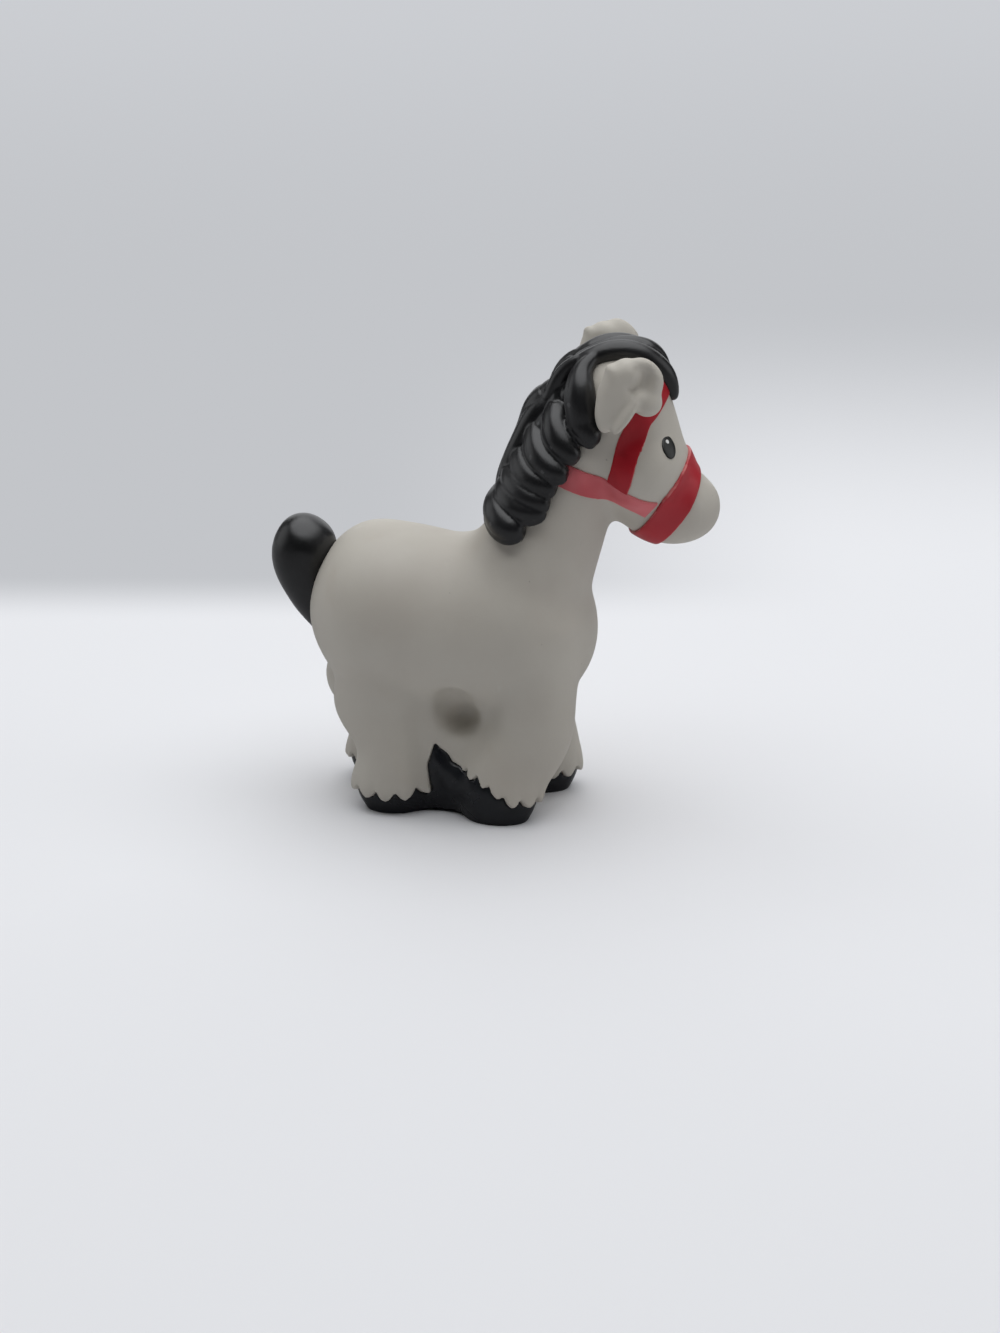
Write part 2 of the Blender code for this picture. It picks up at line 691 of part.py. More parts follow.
def black_region(drop):
    """Everything that the black base may fill, with its top and sides drawn in by the drop."""
    rear, front = (SLAB_ENDS[0] + drop, SLAB_ENDS[1] - drop)
    height = SLAB_HEIGHT - drop
    outline = ((rear, -OVERRUN), (front, -OVERRUN), (front, height), (rear, height))
    half_width = SLAB_HALF_WIDTH - drop
    region = prism("region", outline, (-half_width, half_width))
    added = []
    for sign, shares in ((-1, RIGHT_ARCH_SHARES), (1, LEFT_ARCH_SHARES)):
        top = [
            (
                WEB_CENTRE_X
                + WEB_LENGTH * along
                + drop * ((along < ARCH_PEAK_SHARES[0]) - (along > ARCH_PEAK_SHARES[1])),
                WEB_HEIGHT * climb - drop,
            )
            for along, climb in shares
        ]
        outline = [(top[0][0], -OVERRUN), *top, (top[-1][0], -OVERRUN)]
        ends = (-sign * ARCH_OVERLAP, sign * (ARCH_HALF_WIDTH - drop))
        added.append(prism("arch", outline, ends))
    added += [feather_form(leg, drop) for leg in legs()]
    for other in added:
        combine(region, other, "UNION")
    discard(*added)
    return region


def flatten_sole(obj):
    """Cuts the object off flat at the floor."""
    form = bmesh.new()
    form.from_mesh(obj.data)
    bmesh.ops.bisect_plane(
        form,
        geom=form.verts[:] + form.edges[:] + form.faces[:],
        plane_co=(0, 0, 0),
        plane_no=(0, 0, -1),
        clear_outer=True,
    )
    rim = [edge for edge in form.edges if edge.is_boundary]
    bmesh.ops.contextual_create(form, geom=rim)
    form.to_mesh(obj.data)
    form.free()
    return obj


def pegs(radius, height):
    """A column in each leg."""
    form = bmesh.new()
    for sign, places, sides, _ in legs():
        centre = Vector((places[0], sign * sides[0], height / 2))
        bmesh.ops.create_cone(
            form,
            cap_ends=True,
            segments=PEG_SIDES,
            radius1=radius,
            radius2=radius,
            depth=height,
            matrix=Matrix.Translation(centre),
        )
    return object_from("pegs", form)


def hoof_base(form):
    """The black base, from the grey form drawn in by the inset."""
    base = grown(form, -HOOF_INSET)
    base.name = "hoof_base"
    region = black_region(SEAT_GAP)
    combine(base, region, "INTERSECT")
    columns = pegs(PEG_RADIUS, PEG_HEIGHT)
    combine(base, columns, "UNION")
    discard(region, columns)
    return keep_largest(flatten_sole(base))


def tail_form():
    """The tail with its peg under one skin."""
    form = bmesh.new()
    loft(form, TAIL_ROOT, X_AXIS, Z_AXIS, TAIL_SIZE, TAIL_SHARES, TAIL_END)
    peg = [
        (Vector((x, 0, TAIL_PEG_HEIGHT)), TAIL_PEG_RADIUS, TAIL_PEG_RADIUS) for x in TAIL_PEG_ENDS
    ]
    sweep(form, peg, Y_AXIS)
    return skin("tail", form, DETAIL_VOXEL, DETAIL_SPREAD)


def surface_of(obj):
    """A tree for finding points on the object's surface."""
    return BVHTree.FromObject(obj, bpy.context.evaluated_depsgraph_get())


def on_surface(surface, start, direction):
    """Where a ray from inside leaves the surface, with the normal there."""
    point, normal, _, _ = surface.ray_cast(start, direction.normalized())
    return point, normal


def strap(name, surface, path, width, low, high, closed=False):
    """A band that lies on the surface. The path gives starts inside the head and their directions."""
    middles = [on_surface(surface, start, direction) for start, direction in path]
    bevel = (high - low) * STRAP_BEVEL_SHARE
    section = (
        (-0.5, 0, low),
        (-0.5, 0, high - bevel),
        (-0.5, bevel, high),
        (0, 0, high),
        (0.5, -bevel, high),
        (0.5, 0, high - bevel),
        (0.5, 0, low),
        (0, 0, low),
    )
    count = len(path)
    form = bmesh.new()
    rings = []
    for k, (start, _) in enumerate(path):
        middle, normal = middles[k]
        if closed:
            before, after = middles[k - 1][0], middles[(k + 1) % count][0]
        else:
            before, after = middles[max(k - 1, 0)][0], middles[min(k + 1, count - 1)][0]
        across = normal.cross(after - before).normalized()
        ring = []
        for place, shift, rise in section:
            aim = middle + across * (width * place) - start
            point, away = on_surface(surface, start, aim)
            ring.append(form.verts.new(point + across * shift + (normal + away).normalized() * rise))
        rings.append(ring)
    pairs = list(zip(rings, rings[1:])) + ([(rings[-1], rings[0])] if closed else [])
    for ring, following in pairs:
        for n in range(len(section)):
            m = (n + 1) % len(section)
            form.faces.new((ring[n], ring[m], following[m], following[n]))
    if not closed:
        form.faces.new(rings[0][::-1])
        form.faces.new(rings[-1])
    bmesh.ops.triangulate(form, faces=form.faces)
    return object_from(name, form)


def path_towards(core_shares, shares):
    """Starts in the middle of the head and directions to the points of a path."""
    start = in_head(*core_shares)
    return [(start, in_head(*row) - start) for row in shares]


def halter(surface, low, high, margin):
    """The noseband, the crown strap and both jaw straps; the margin widens them for use as cutters."""
    _, level, side = head_frame()
    across = level * math.cos(NOSEBAND_LEAN) + Z_AXIS * math.sin(NOSEBAND_LEAN)
    ahead = side.cross(across)
    middle = in_head(*NOSEBAND_MIDDLE_SHARES)
    loop = []
    for step in range(NOSEBAND_STEPS):
        turn = 2 * math.pi * step / NOSEBAND_STEPS
        loop.append((middle, ahead * math.cos(turn) + side * math.sin(turn)))
    made = [strap("noseband", surface, loop, NOSEBAND_WIDTH + 2 * margin, low, high, True)]
    half = spline(CROWN_STRAP_SHARES, CROWN_STRAP_STEPS)
    whole = half + [(reach, climb, -side_share) for reach, climb, side_share in half[-2::-1]]
    path = path_towards(CROWN_CORE_SHARES, whole)
    made.append(strap("crown_strap", surface, path, CROWN_STRAP_WIDTH + 2 * margin, low, high))
    for word, rows in (("left", LEFT_JAW_STRAP_SHARES), ("right", RIGHT_JAW_STRAP_SHARES)):
        path = path_towards(STRAP_CORE_SHARES, spline(rows, JAW_STRAP_STEPS))
        name = "jaw_strap_" + word
        made.append(strap(name, surface, path, JAW_STRAP_WIDTH + 2 * margin, low, high))
    return made


def rail():
    """Points inside the body with the directions to the crest and to the left, from brow to withers."""
    _, level, left = head_frame()
    stations = []
    for angle in RAIL_BROW_ANGLES:
        turn = math.radians(angle)
        stations.append(
            (in_head(*BROW_SHARES), level * math.cos(turn) + Z_AXIS * math.sin(turn), left)
        )
    for share in RAIL_NECK_SHARES:
        stations.append((NECK_ROOT + NECK_ALONG * (NECK_LENGTH * share), NECK_CREST, Y_AXIS))
    return stations


def from_rail(surface, place, angle, rise):
    """A point above the surface, by the share along the rail and the angle towards the left side."""
    stations = rail()
    last = len(stations) - 1
    where = place * last
    k = min(max(int(where), 0), last - 1)
    mix = where - k
    centre, crest, left = (a + (b - a) * mix for a, b in zip(stations[k], stations[k + 1]))
    direction = crest.normalized() * math.cos(angle) + left.normalized() * math.sin(angle)
    point, _ = on_surface(surface, centre, direction)
    return point + direction * rise


def lock(form, surface, path, lifts, sign, width, shares):
    """Adds one lock of hair along the path, with its middle line lifted off the surface."""
    steps = LOCK_FINENESS * len(path)
    rows = [(place, math.radians(angle), lift) for (place, angle), lift in zip(path, lifts)]
    rows = spline(rows, steps)
    sizes = spline([(share,) for share in shares], steps)
    points = [from_rail(surface, place, sign * angle, lift) for place, angle, lift in rows]
    rings = []
    for k, (point, (size,)) in enumerate(zip(points, sizes)):
        along = (points[min(k + 1, steps)] - points[max(k - 1, 0)]).normalized()
        place, angle, _ = rows[k]
        above = point - from_rail(surface, place, sign * angle, 0)
        across = above.cross(along).normalized()
        rise = along.cross(across)
        far = abs(2 * k / steps - 1)
        roundness = math.sqrt(max(LOCK_TIP_SHARE, 1 - far**LOCK_TIP_POWER))
        half = width / 2 * size * roundness
        ring = []
        for n in range(LOCK_SIDES):
            turn = 2 * math.pi * n / LOCK_SIDES
            ring.append(
                form.verts.new(
                    point
                    + across * (half * math.cos(turn))
                    + rise * (half * LOCK_FLATNESS * math.sin(turn))
                )
            )
        rings.append(ring)
    for ring, following in zip(rings, rings[1:]):
        for n in range(LOCK_SIDES):
            m = (n + 1) % LOCK_SIDES
            form.faces.new((ring[n], ring[m], following[m], following[n]))
    form.faces.new(rings[0][::-1])
    form.faces.new(rings[-1])


def mane_form(surface):
    """The crest with its locks on both sides and the forelock under one skin."""
    form = bmesh.new()
    for sign in (-1, 1):
        for path, share, root in zip(LOCK_PATHS, LOCK_WIDTH_SHARES, LOCK_ROOT_SHARES):
            lifts = [LOCK_RISE * root, LOCK_RISE * (root + 1) / 2]
            lifts += [LOCK_RISE] * (len(path) - len(lifts))
            lock(form, surface, path, lifts, sign, LOCK_WIDTH * share, LOCK_SHARES)
        for path in FORELOCK_PATHS:
            lifts = [FORELOCK_RISE] * len(path)
            lock(form, surface, path, lifts, sign, FORELOCK_WIDTH, FORELOCK_SHARES)
    crest = [(place, 0) for place in CREST_PLACE_SHARES]
    lifts = [LOCK_RISE * share for share in CREST_RISE_SHARES]
    lock(form, surface, crest, lifts, 1, CREST_WIDTH, CREST_SHARES)
    return skin("mane", form, MANE_VOXEL, MANE_SPREAD)


def eye_frame(surface, sign):
    """Centre of one eye on the head, its outward direction, and its directions across and up."""
    inside = in_head(*EYE_CORE_SHARES)
    reach, climb, aside = EYE_SHARES
    centre, outward = on_surface(surface, inside, in_head(reach, climb, sign * aside) - inside)
    tilt = Matrix.Rotation(sign * EYE_TURN, 3, outward)
    across = tilt @ Z_AXIS.cross(outward).normalized()
    return centre, outward, across, outward.cross(across)


def inlay(name, frame, half_width, half_height, sides, levels):
    """A closed oval plug. Each level gives the height outwards and the share of the full breadth."""
    centre, outward, across, rise = frame
    form = bmesh.new()
    rings = []
    for height, share in levels:
        ring = []
        for n in range(sides):
            turn = 2 * math.pi * n / sides
            offset = across * (half_width * math.cos(turn)) + rise * (half_height * math.sin(turn))
            ring.append(form.verts.new(centre + outward * height + offset * share))
        rings.append(ring)
    for ring, following in zip(rings, rings[1:]):
        for n in range(sides):
            m = (n + 1) % sides
            form.faces.new((ring[n], ring[m], following[m], following[n]))
    form.faces.new(rings[0])
    form.faces.new(rings[-1])
    return object_from(name, form)


def eye(name, surface, sign, margin):
    """An oval dome let into the head; the margin makes it the cutter for its own pocket."""
    dome = [(EYE_DOME * height, share) for height, share in EYE_DOME_SHARES]
    levels = [(-EYE_DEPTH - margin, 1), *dome]
    frame = eye_frame(surface, sign)
    return inlay(name, frame, EYE_WIDTH / 2 + margin, EYE_HEIGHT / 2 + margin, EYE_SIDES, levels)


def glint(name, surface, sign, margin):
    """The round white glint let into the eye."""
    centre, outward, across, rise = eye_frame(surface, sign)
    aside, above = GLINT_OFFSET_SHARES
    centre = centre + across * (sign * EYE_WIDTH * aside) + rise * (EYE_HEIGHT * above)
    levels = [(GLINT_RISE - GLINT_DEPTH - margin, 1), (GLINT_RISE + margin, 1)]
    frame = (centre, outward, across, rise)
    return inlay(name, frame, GLINT_RADIUS + margin, GLINT_RADIUS + margin, GLINT_SIDES, levels)


def finish(obj, material_name):
    obj.data.materials.clear()
    obj.data.materials.append(material(material_name))


def main():
    for obj in list(bpy.data.objects):
        bpy.data.objects.remove(obj)
    core = core_form()
    smooth_skin = surface_of(core)
    body = thin_out(body_form(core), BODY_TRIANGLES)
    base = hoof_base(body)
    tail = thin_out(tail_form(), TAIL_TRIANGLES)
    straps = halter(smooth_skin, STRAP_LIFT, STRAP_LIFT + STRAP_THICKNESS, 0)
    slots = halter(smooth_skin, STRAP_LIFT / 2, STRAP_LIFT + STRAP_THICKNESS + SEAT_GAP, SEAT_GAP)
    mane = thin_out(mane_form(smooth_skin), MANE_TRIANGLES)
    shell = grown(body, SEAT_GAP)
    for cutter in [shell] + slots:
        combine(mane, cutter, "DIFFERENCE")
    keep_largest(mane)
    region = black_region(0)
    sockets = pegs(PEG_RADIUS + SEAT_GAP, PEG_HEIGHT + SEAT_GAP)
    root = grown(tail, SEAT_GAP)
    eyes = []
    glints = []
    pockets = []
    for word, sign in (("left", 1), ("right", -1)):
        eyes.append(eye("eye_" + word, smooth_skin, sign, 0))
        pockets.append(eye("pocket", smooth_skin, sign, INLAY_GAP))
        glints.append(glint("eye_glint_" + word, smooth_skin, sign, 0))
        seat = glint("seat", smooth_skin, sign, INLAY_GAP)
        combine(eyes[-1], seat, "DIFFERENCE")
        discard(seat)
    for cutter in [region, sockets, root] + slots + pockets:
        combine(body, cutter, "DIFFERENCE")
    discard(core, shell, region, sockets, root, *slots, *pockets)
    keep_largest(body)
    finish(body, "vinyl_grey")
    finish(base, "hoof_black")
    finish(tail, "hair_black")
    finish(mane, "hair_black")
    for band in straps:
        finish(band, "halter_red")
    for dome in eyes:
        finish(dome, "eye_black")
    for dot in glints:
        finish(dot, "glint_white")


main()
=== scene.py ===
import bisect
import contextlib
import math

import bmesh
import bpy
from mathutils import Matrix, Vector
from mathutils.bvhtree import BVHTree


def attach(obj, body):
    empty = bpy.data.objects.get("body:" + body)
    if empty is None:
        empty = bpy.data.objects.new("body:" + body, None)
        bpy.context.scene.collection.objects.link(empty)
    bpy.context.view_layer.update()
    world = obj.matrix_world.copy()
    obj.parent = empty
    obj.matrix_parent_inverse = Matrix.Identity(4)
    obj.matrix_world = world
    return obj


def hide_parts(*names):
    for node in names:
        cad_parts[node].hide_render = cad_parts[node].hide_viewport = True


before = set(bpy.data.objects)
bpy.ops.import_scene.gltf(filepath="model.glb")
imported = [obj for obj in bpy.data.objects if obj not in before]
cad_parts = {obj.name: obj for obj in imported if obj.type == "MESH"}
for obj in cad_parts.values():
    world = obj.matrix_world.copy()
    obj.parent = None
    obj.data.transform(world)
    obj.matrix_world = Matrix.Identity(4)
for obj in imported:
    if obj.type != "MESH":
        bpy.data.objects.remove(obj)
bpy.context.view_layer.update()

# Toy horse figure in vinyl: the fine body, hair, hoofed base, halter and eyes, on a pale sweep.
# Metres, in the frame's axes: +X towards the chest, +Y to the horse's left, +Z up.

MM = 0.001
X_AXIS = Vector((1, 0, 0))
Y_AXIS = Vector((0, 1, 0))
Z_AXIS = Vector((0, 0, 1))

# Fineness of the skins and how far their creases are softened
FORM_VOXEL = 0.45 * MM
SKIN_VOXEL = 0.30 * MM
HAIR_VOXEL = 0.24 * MM
JOINT_SPREAD = 1.4 * MM
CREASE_SPREAD = 1.1 * MM
EAR_SPREAD = 0.34 * MM
HEM_SPREAD = 0.16 * MM
BASE_SPREAD = 0.26 * MM
WEB_SPREAD = 1.6 * MM
HAIR_SPREAD = 0.10 * MM
RING_SIDES = 48
BALL_SUBDIVISIONS = 5
LOFT_STEPS = 48
LOFT_FINENESS = 10
END_SKIP = 0.6
BODY_TRIANGLES = 190000

# Trunk, neck and head. Rows give reach, climb, depth and width as shares
TRUNK_REAR = -29.3 * MM
TRUNK_HEIGHT = 30.0 * MM
TRUNK_SIZE = (44.4 * MM, 27.0 * MM, 27.0 * MM, 27.0 * MM)
TRUNK_END = 10.0 * MM
TRUNK_SHARES = (
    (0.00, 0.02, 0.86, 0.86),
    (0.18, 0.02, 1.00, 0.99),
    (0.34, 0.00, 1.01, 1.02),
    (0.52, -0.035, 1.00, 0.99),
    (0.70, 0.01, 1.02, 0.98),
    (0.86, 0.04, 0.98, 0.94),
    (1.00, 0.10, 0.86, 0.84),
)
NECK_ROOT = Vector((TRUNK_REAR + TRUNK_SIZE[0] - 9.1 * MM, 0, TRUNK_HEIGHT + 4.0 * MM))
NECK_LENGTH = 33.0 * MM
NECK_LEAN = math.radians(73)
NECK_ALONG = X_AXIS * math.cos(NECK_LEAN) + Z_AXIS * math.sin(NECK_LEAN)
NECK_CREST = Z_AXIS * math.cos(NECK_LEAN) - X_AXIS * math.sin(NECK_LEAN)
NECK_SIZE = (NECK_LENGTH, 17.6 * MM, 17.6 * MM, 17.6 * MM)
NECK_END = 7.0 * MM
NECK_SHARES = (
    (-0.20, 0.12, 0.95, 1.20),
    (0.00, 0.14, 1.18, 1.30),
    (0.30, 0.07, 1.00, 1.07),
    (0.55, 0.02, 0.87, 0.94),
    (0.80, -0.05, 0.79, 0.90),
    (1.00, -0.16, 0.66, 0.80),
)
CROWN = NECK_ROOT + NECK_ALONG * NECK_LENGTH + Vector((-1.05 * MM, -1.0 * MM, 8.14 * MM))
HEAD_SIZE = (20.9 * MM, -27.8 * MM, 16.0 * MM, 16.0 * MM)
HEAD_END = 7.0 * MM
HEAD_TURN = math.radians(20)
HEAD_SHARES = (
    (0.160, 0.010, 0.90, 0.92),
    (0.185, 0.227, 0.94, 0.98),
    (0.250, 0.455, 1.00, 0.98),
    (0.355, 0.680, 0.98, 0.90),
    (0.545, 0.850, 0.90, 0.84),
    (0.740, 0.900, 0.79, 0.82),
    (0.960, 0.890, 0.72, 0.78),
)
CHEEK_RADIUS = 6.8 * MM
CHEEK_SHARES = (0.33, 0.64, 0.19)

# Ears: a leaf with a hollow in its outer face, a lobe before it and a fold to the root
EAR_SIZE = (13.0 * MM, 13.0 * MM, 10.8 * MM, 5.0 * MM)
EAR_END = 3.4 * MM
EAR_TILT = math.radians(73)
EAR_SPLAY = math.radians(9)
EAR_ROOT_SHARES = (0.020, 0.395, 0.52)
# The left ear stands a little higher, as a share of the head's drop
LEFT_EAR_LIFT = 0.028
EAR_SHARES = (
    (0.00, 0.00, 0.30, 0.80),
    (0.25, -0.02, 0.40, 0.95),
    (0.45, 0.01, 0.62, 1.00),
    (0.62, 0.10, 0.90, 0.98),
    (0.80, 0.15, 0.78, 0.86),
    (1.00, 0.13, 0.50, 0.66),
)
HOLLOW_SHARES = (0.262, 0.094, 0.80)
HOLLOW_RADII = (2.9 * MM, 2.5 * MM, 2.8 * MM)
LOBE_SHARES = (0.322, 0.222, 0.60)
LOBE_RADIUS = 2.25 * MM
TIP_SHARES = (0.170, 0.065, 0.60)
TIP_RADIUS = 2.4 * MM
EAR_FOLD_SHARES = (0.165, 0.262, 0.69)
EAR_FOLD_RADII = (3.9 * MM, 0.95 * MM, 1.9 * MM)
EAR_FOLD_TILT = math.radians(58)

# Legs and the web between them
HIP_HEIGHT = 32.0 * MM
FOOT_LENGTH = 13.0 * MM
FOOT_WIDTH = 10.4 * MM
FORE_SIDES = (7.5 * MM, 5.4 * MM)
HIND_SIDES = (6.4 * MM, 5.4 * MM)
RIGHT_FORE_X = (1.8 * MM, 7.0 * MM)
LEFT_FORE_X = (5.3 * MM, 4.4 * MM)
RIGHT_HIND_X = (-15.2 * MM, -16.2 * MM)
LEFT_HIND_X = (-19.4 * MM, -20.1 * MM)
FORE_LEG_SHARES = (
    (-0.10, 0.00, 0.62, 0.56),
    (0.00, 0.00, 0.84, 0.80),
    (0.06, 0.00, 1.00, 0.98),
    (0.14, 0.00, 1.06, 1.03),
    (0.26, 0.30, 1.02, 0.96),
    (0.42, 0.90, 1.00, 0.98),
    (0.64, 1.00, 1.02, 1.10),
    (1.00, 1.00, 1.10, 1.20),
)
HIND_LEG_SHARES = (
    (-0.10, 0.00, 0.50, 0.44),
    (0.00, 0.00, 0.74, 0.70),
    (0.06, 0.00, 0.91, 0.90),
    (0.14, 0.00, 1.00, 1.01),
    (0.32, 0.00, 0.85, 0.92),
    (0.52, 1.40, 1.26, 1.06),
    (0.64, 1.00, 1.20, 1.16),
    (1.00, 1.00, 1.30, 1.30),
)
WEB_CENTRE_X = -6.5 * MM
WEB_HEIGHT = 26.0 * MM
WEB_LENGTH = 24.0 * MM
WEB_WIDTH = 16.0 * MM
WEB_STEPS = 20
WEB_SHARES = (
    (-0.02, 1.00, 0.94),
    (0.12, 1.00, 1.04),
    (0.42, 1.00, 1.08),
    (1.00, 1.00, 1.20),
)
# Dimple between the legs on each side: a shallow bowl with a deeper one at its lower front
DIMPLE_STARTS = ((-3.8 * MM, -1), (-6.2 * MM, 1))
DIMPLE_OFFSETS = (
    (0.0, 9.4 * MM, 15.9 * MM),
    (-1.0 * MM, 11.2 * MM, 17.4 * MM),
    (-3.2 * MM, 11.9 * MM, 14.2 * MM),
)
DIMPLE_RADII = (
    (3.1 * MM, 5.3 * MM, 2.9 * MM),
    (3.9 * MM, 5.2 * MM, 4.4 * MM),
    (1.9 * MM, 3.6 * MM, 5.0 * MM),
)

# Flare of the black web towards each fore hoof
FLARE_STARTS = ((-5.0 * MM, -1), (-7.4 * MM, 1))
FLARE_OFFSETS = (0.0, 7.2 * MM, 6.0 * MM)
FLARE_RADII = (2.5 * MM, 2.5 * MM, 6.2 * MM)
FLARE_TURN = math.radians(-38)

# Black base and the feathered hem above it
HOOF_INSET = 0.32 * MM
HEM_GAP = 0.04 * MM
OVERRUN = 2.0 * MM
FEATHER_HEIGHT = 10.0 * MM
FORE_FEATHER_SHARES = (0.80, 0.88, 0.84, 0.68, 0.50, 0.46, 0.45, 0.42, 0.42, 0.42, 0.60, 0.76)
HIND_FEATHER_SHARES = (0.48, 0.46, 0.43, 0.41, 0.43, 0.50, 0.50, 0.50, 0.46, 0.46, 0.46, 0.48)
FEATHER_DROP = 1.5 * MM
FORE_LOBES = 13
HIND_LOBES = 10
LOBE_STEPS = 12
FEATHER_RADII = (3.4 * MM, 4.2 * MM, 8.0 * MM)
TUFT_RISE = 0.34 * MM
TUFT_FADE = 4.6 * MM
TUFT_REACH = 10.5 * MM
TUFT_TOP = 4.0 * MM
TUFT_OVERLAP = 1.5 * MM
TUFT_SOFTNESS = 0.6
RIGHT_ARCH_SHARES = (
    (-0.090, 0.155),
    (-0.112, 0.308),
    (-0.062, 0.460),
    (-0.029, 0.425),
    (0.021, 0.395),
    (0.053, 0.343),
    (0.110, 0.325),
    (0.188, 0.277),
)
LEFT_ARCH_SHARES = ((-0.270, 0.155), (-0.250, 0.270), (-0.120, 0.400), (0.220, 0.230))
ARCH_PEAK_SHARES = (-0.07, -0.05)
ARCH_HALF_WIDTH = 13.0 * MM
ARCH_OVERLAP = MM / 2
SLAB_ENDS = (-18.0 * MM, 5.0 * MM)
SLAB_HEIGHT = 2.5 * MM
SLAB_HALF_WIDTH = 13.0 * MM

# Tail
TAIL_INSET = 2.3 * MM
TAIL_RISE = 13.0 * MM
TAIL_SIZE = (-10.0 * MM, 22.0 * MM, 10.4 * MM, 10.4 * MM)
TAIL_END = 4.0 * MM
TAIL_SHARES = (
    (0.00, 0.00, 0.90, 0.90),
    (0.32, -0.20, 1.00, 1.00),
    (0.17, -0.46, 0.85, 0.89),
    (-0.18, -0.74, 0.60, 0.68),
    (-0.34, -1.00, 0.40, 0.46),
)
TAIL_PEG_HEIGHT = 36.4 * MM
TAIL_PEG_ENDS = (-23.5 * MM, -29.3 * MM)
TAIL_PEG_RADIUS = 3.0 * MM

# Halter
STRAP_LOW = -0.40 * MM
# How high each strap stands, from the crown's up to the noseband's, which lies over the others
STRAP_HIGHS = (0.24 * MM, 0.29 * MM, 0.45 * MM)
STRAP_ROUND = 0.22 * MM
STRAP_CORE_SHARES = (0.34, 0.66, 0.0)
CROWN_CORE_SHARES = (0.22, 0.40, 0.0)
NOSEBAND_WIDTH = 4.7 * MM
NOSEBAND_MIDDLE_SHARES = (0.56, 0.82, 0.0)
NOSEBAND_LEAN = math.radians(-29)
NOSEBAND_STEPS = 120
# Width of the noseband under the jaw, at the sides and over the nose, and its extra lean there
NOSEBAND_SHARES = (0.88, 1.00, 0.78)
NOSEBAND_BEND = 0.14
CROWN_STRAP_WIDTH = 3.8 * MM
CROWN_STRAP_SHARES = (
    (0.122, 0.737, -0.50),
    (0.187, 0.535, -0.51),
    (0.245, 0.422, -0.488),
    (0.295, 0.335, -0.472),
    (0.367, 0.281, -0.43),
    (0.440, 0.226, -0.315),
    (0.490, 0.195, -0.16),
    (0.500, 0.190, 0.00),
)
CROWN_STRAP_STEPS = 70
JAW_STRAP_WIDTH = 3.7 * MM
# The head turns to the left, so the left strap is shorter
RIGHT_JAW_STRAP_SHARES = (
    (-0.30, 0.630, -0.30),
    (-0.16, 0.675, -0.375),
    (0.000, 0.732, -0.410),
    (0.160, 0.770, -0.435),
    (0.290, 0.818, -0.442),
    (0.385, 0.853, -0.428),
)
LEFT_JAW_STRAP_SHARES = (
    (-0.02, 0.712, 0.410),
    (0.080, 0.744, 0.422),
    (0.180, 0.777, 0.436),
    (0.290, 0.818, 0.442),
    (0.385, 0.853, 0.428),
)
JAW_STRAP_STEPS = 60
STRAP_LANES = 14
# Rounded edge of the section: place across, and how much of the rounding is left there
STRAP_EDGE = ((-0.5, 1.0), (-0.492, 0.45), (-0.470, 0.12))
CAST_LENGTH = 0.1

# Eyes
EYE_CORE_SHARES = (0.26, 0.52, 0.0)
EYE_SHARES = (0.505, 0.500, 0.443)
EYE_HEIGHT = 3.7 * MM
EYE_WIDTH = 2.6 * MM
EYE_DEPTH = 0.5 * MM
EYE_DOME = 0.22 * MM
EYE_TURN = math.radians(17)
EYE_SIDES = 64
DOME_STEPS = 8
GLINT_RADIUS = 0.42 * MM
GLINT_OFFSET_SHARES = (0.10, 0.20)
GLINT_DOME = 0.30 * MM
GLINT_SIDES = 32

# Mane: a rail along the crest, from the brow to the withers; locks by share and angle in degrees
BROW_SHARES = (0.19, 0.24, 0.0)
RAIL_BROW_ANGLES = (-6, 25, 58, 92, 122)
RAIL_NECK_SHARES = (0.93, 0.79, 0.64, 0.49, 0.34)
LOCK_RISE = 0.9 * MM
LOCK_FINENESS = 8
LOCK_SIDES = 28
LOCK_END_POWER = 7
LOCK_END_LEAST = 0.02
LOCK_WIDTH = 4.6 * MM
LOCK_SHARES = (0.24, 0.62, 0.96, 1.02, 0.93, 0.66)
# Thin lip along the rear of each lock: its place aside and above and its size, of the lock's radius
LIP_SHARES = (0.72, 0.42, 0.30)
LOCK_WIDTH_SHARES = (1.00, 1.00, 1.00, 1.00, 1.00, 1.00, 1.20)
# How much higher each lock stands at its root
LOCK_ROOT_SHARES = (1.0, 2.0, 2.8, 2.2, 1.8, 1.4, 1.0)
LOCK_PATHS = (
    ((0.42, 10), (0.47, 30), (0.50, 53), (0.53, 74), (0.57, 93), (0.61, 107)),
    ((0.48, 4), (0.53, 20), (0.57, 38), (0.61, 58), (0.65, 76), (0.68, 95)),
    ((0.56, 2), (0.63, 12), (0.68, 32), (0.72, 55), (0.74, 75), (0.74, 90)),
    ((0.66, 2), (0.73, 10), (0.78, 30), (0.80, 53), (0.80, 70), (0.80, 84)),
    ((0.75, 2), (0.81, 10), (0.85, 31), (0.86, 53), (0.86, 69), (0.85, 82)),
    ((0.82, 2), (0.87, 13), (0.90, 34), (0.91, 53), (0.90, 69), (0.88, 81)),
    ((0.88, 2), (0.93, 19), (0.965, 40), (0.98, 56), (0.97, 69)),
)
CREST_WIDTH = 5.6 * MM
CREST_PLACE_SHARES = (0.03, 0.10, 0.19, 0.30, 0.40, 0.50, 0.55, 0.60, 0.70, 0.80, 0.90, 1.00)
CREST_RISE_SHARES = (0.50, 0.70, 1.00, 0.70, 0.45, 0.55, 2.00, 2.20, 1.55, 1.30, 0.90, 0.25)
CREST_SHARES = (0.28, 0.45, 0.62, 0.50, 0.42, 0.50, 1.00, 1.12, 0.95, 0.87, 0.74, 0.30)
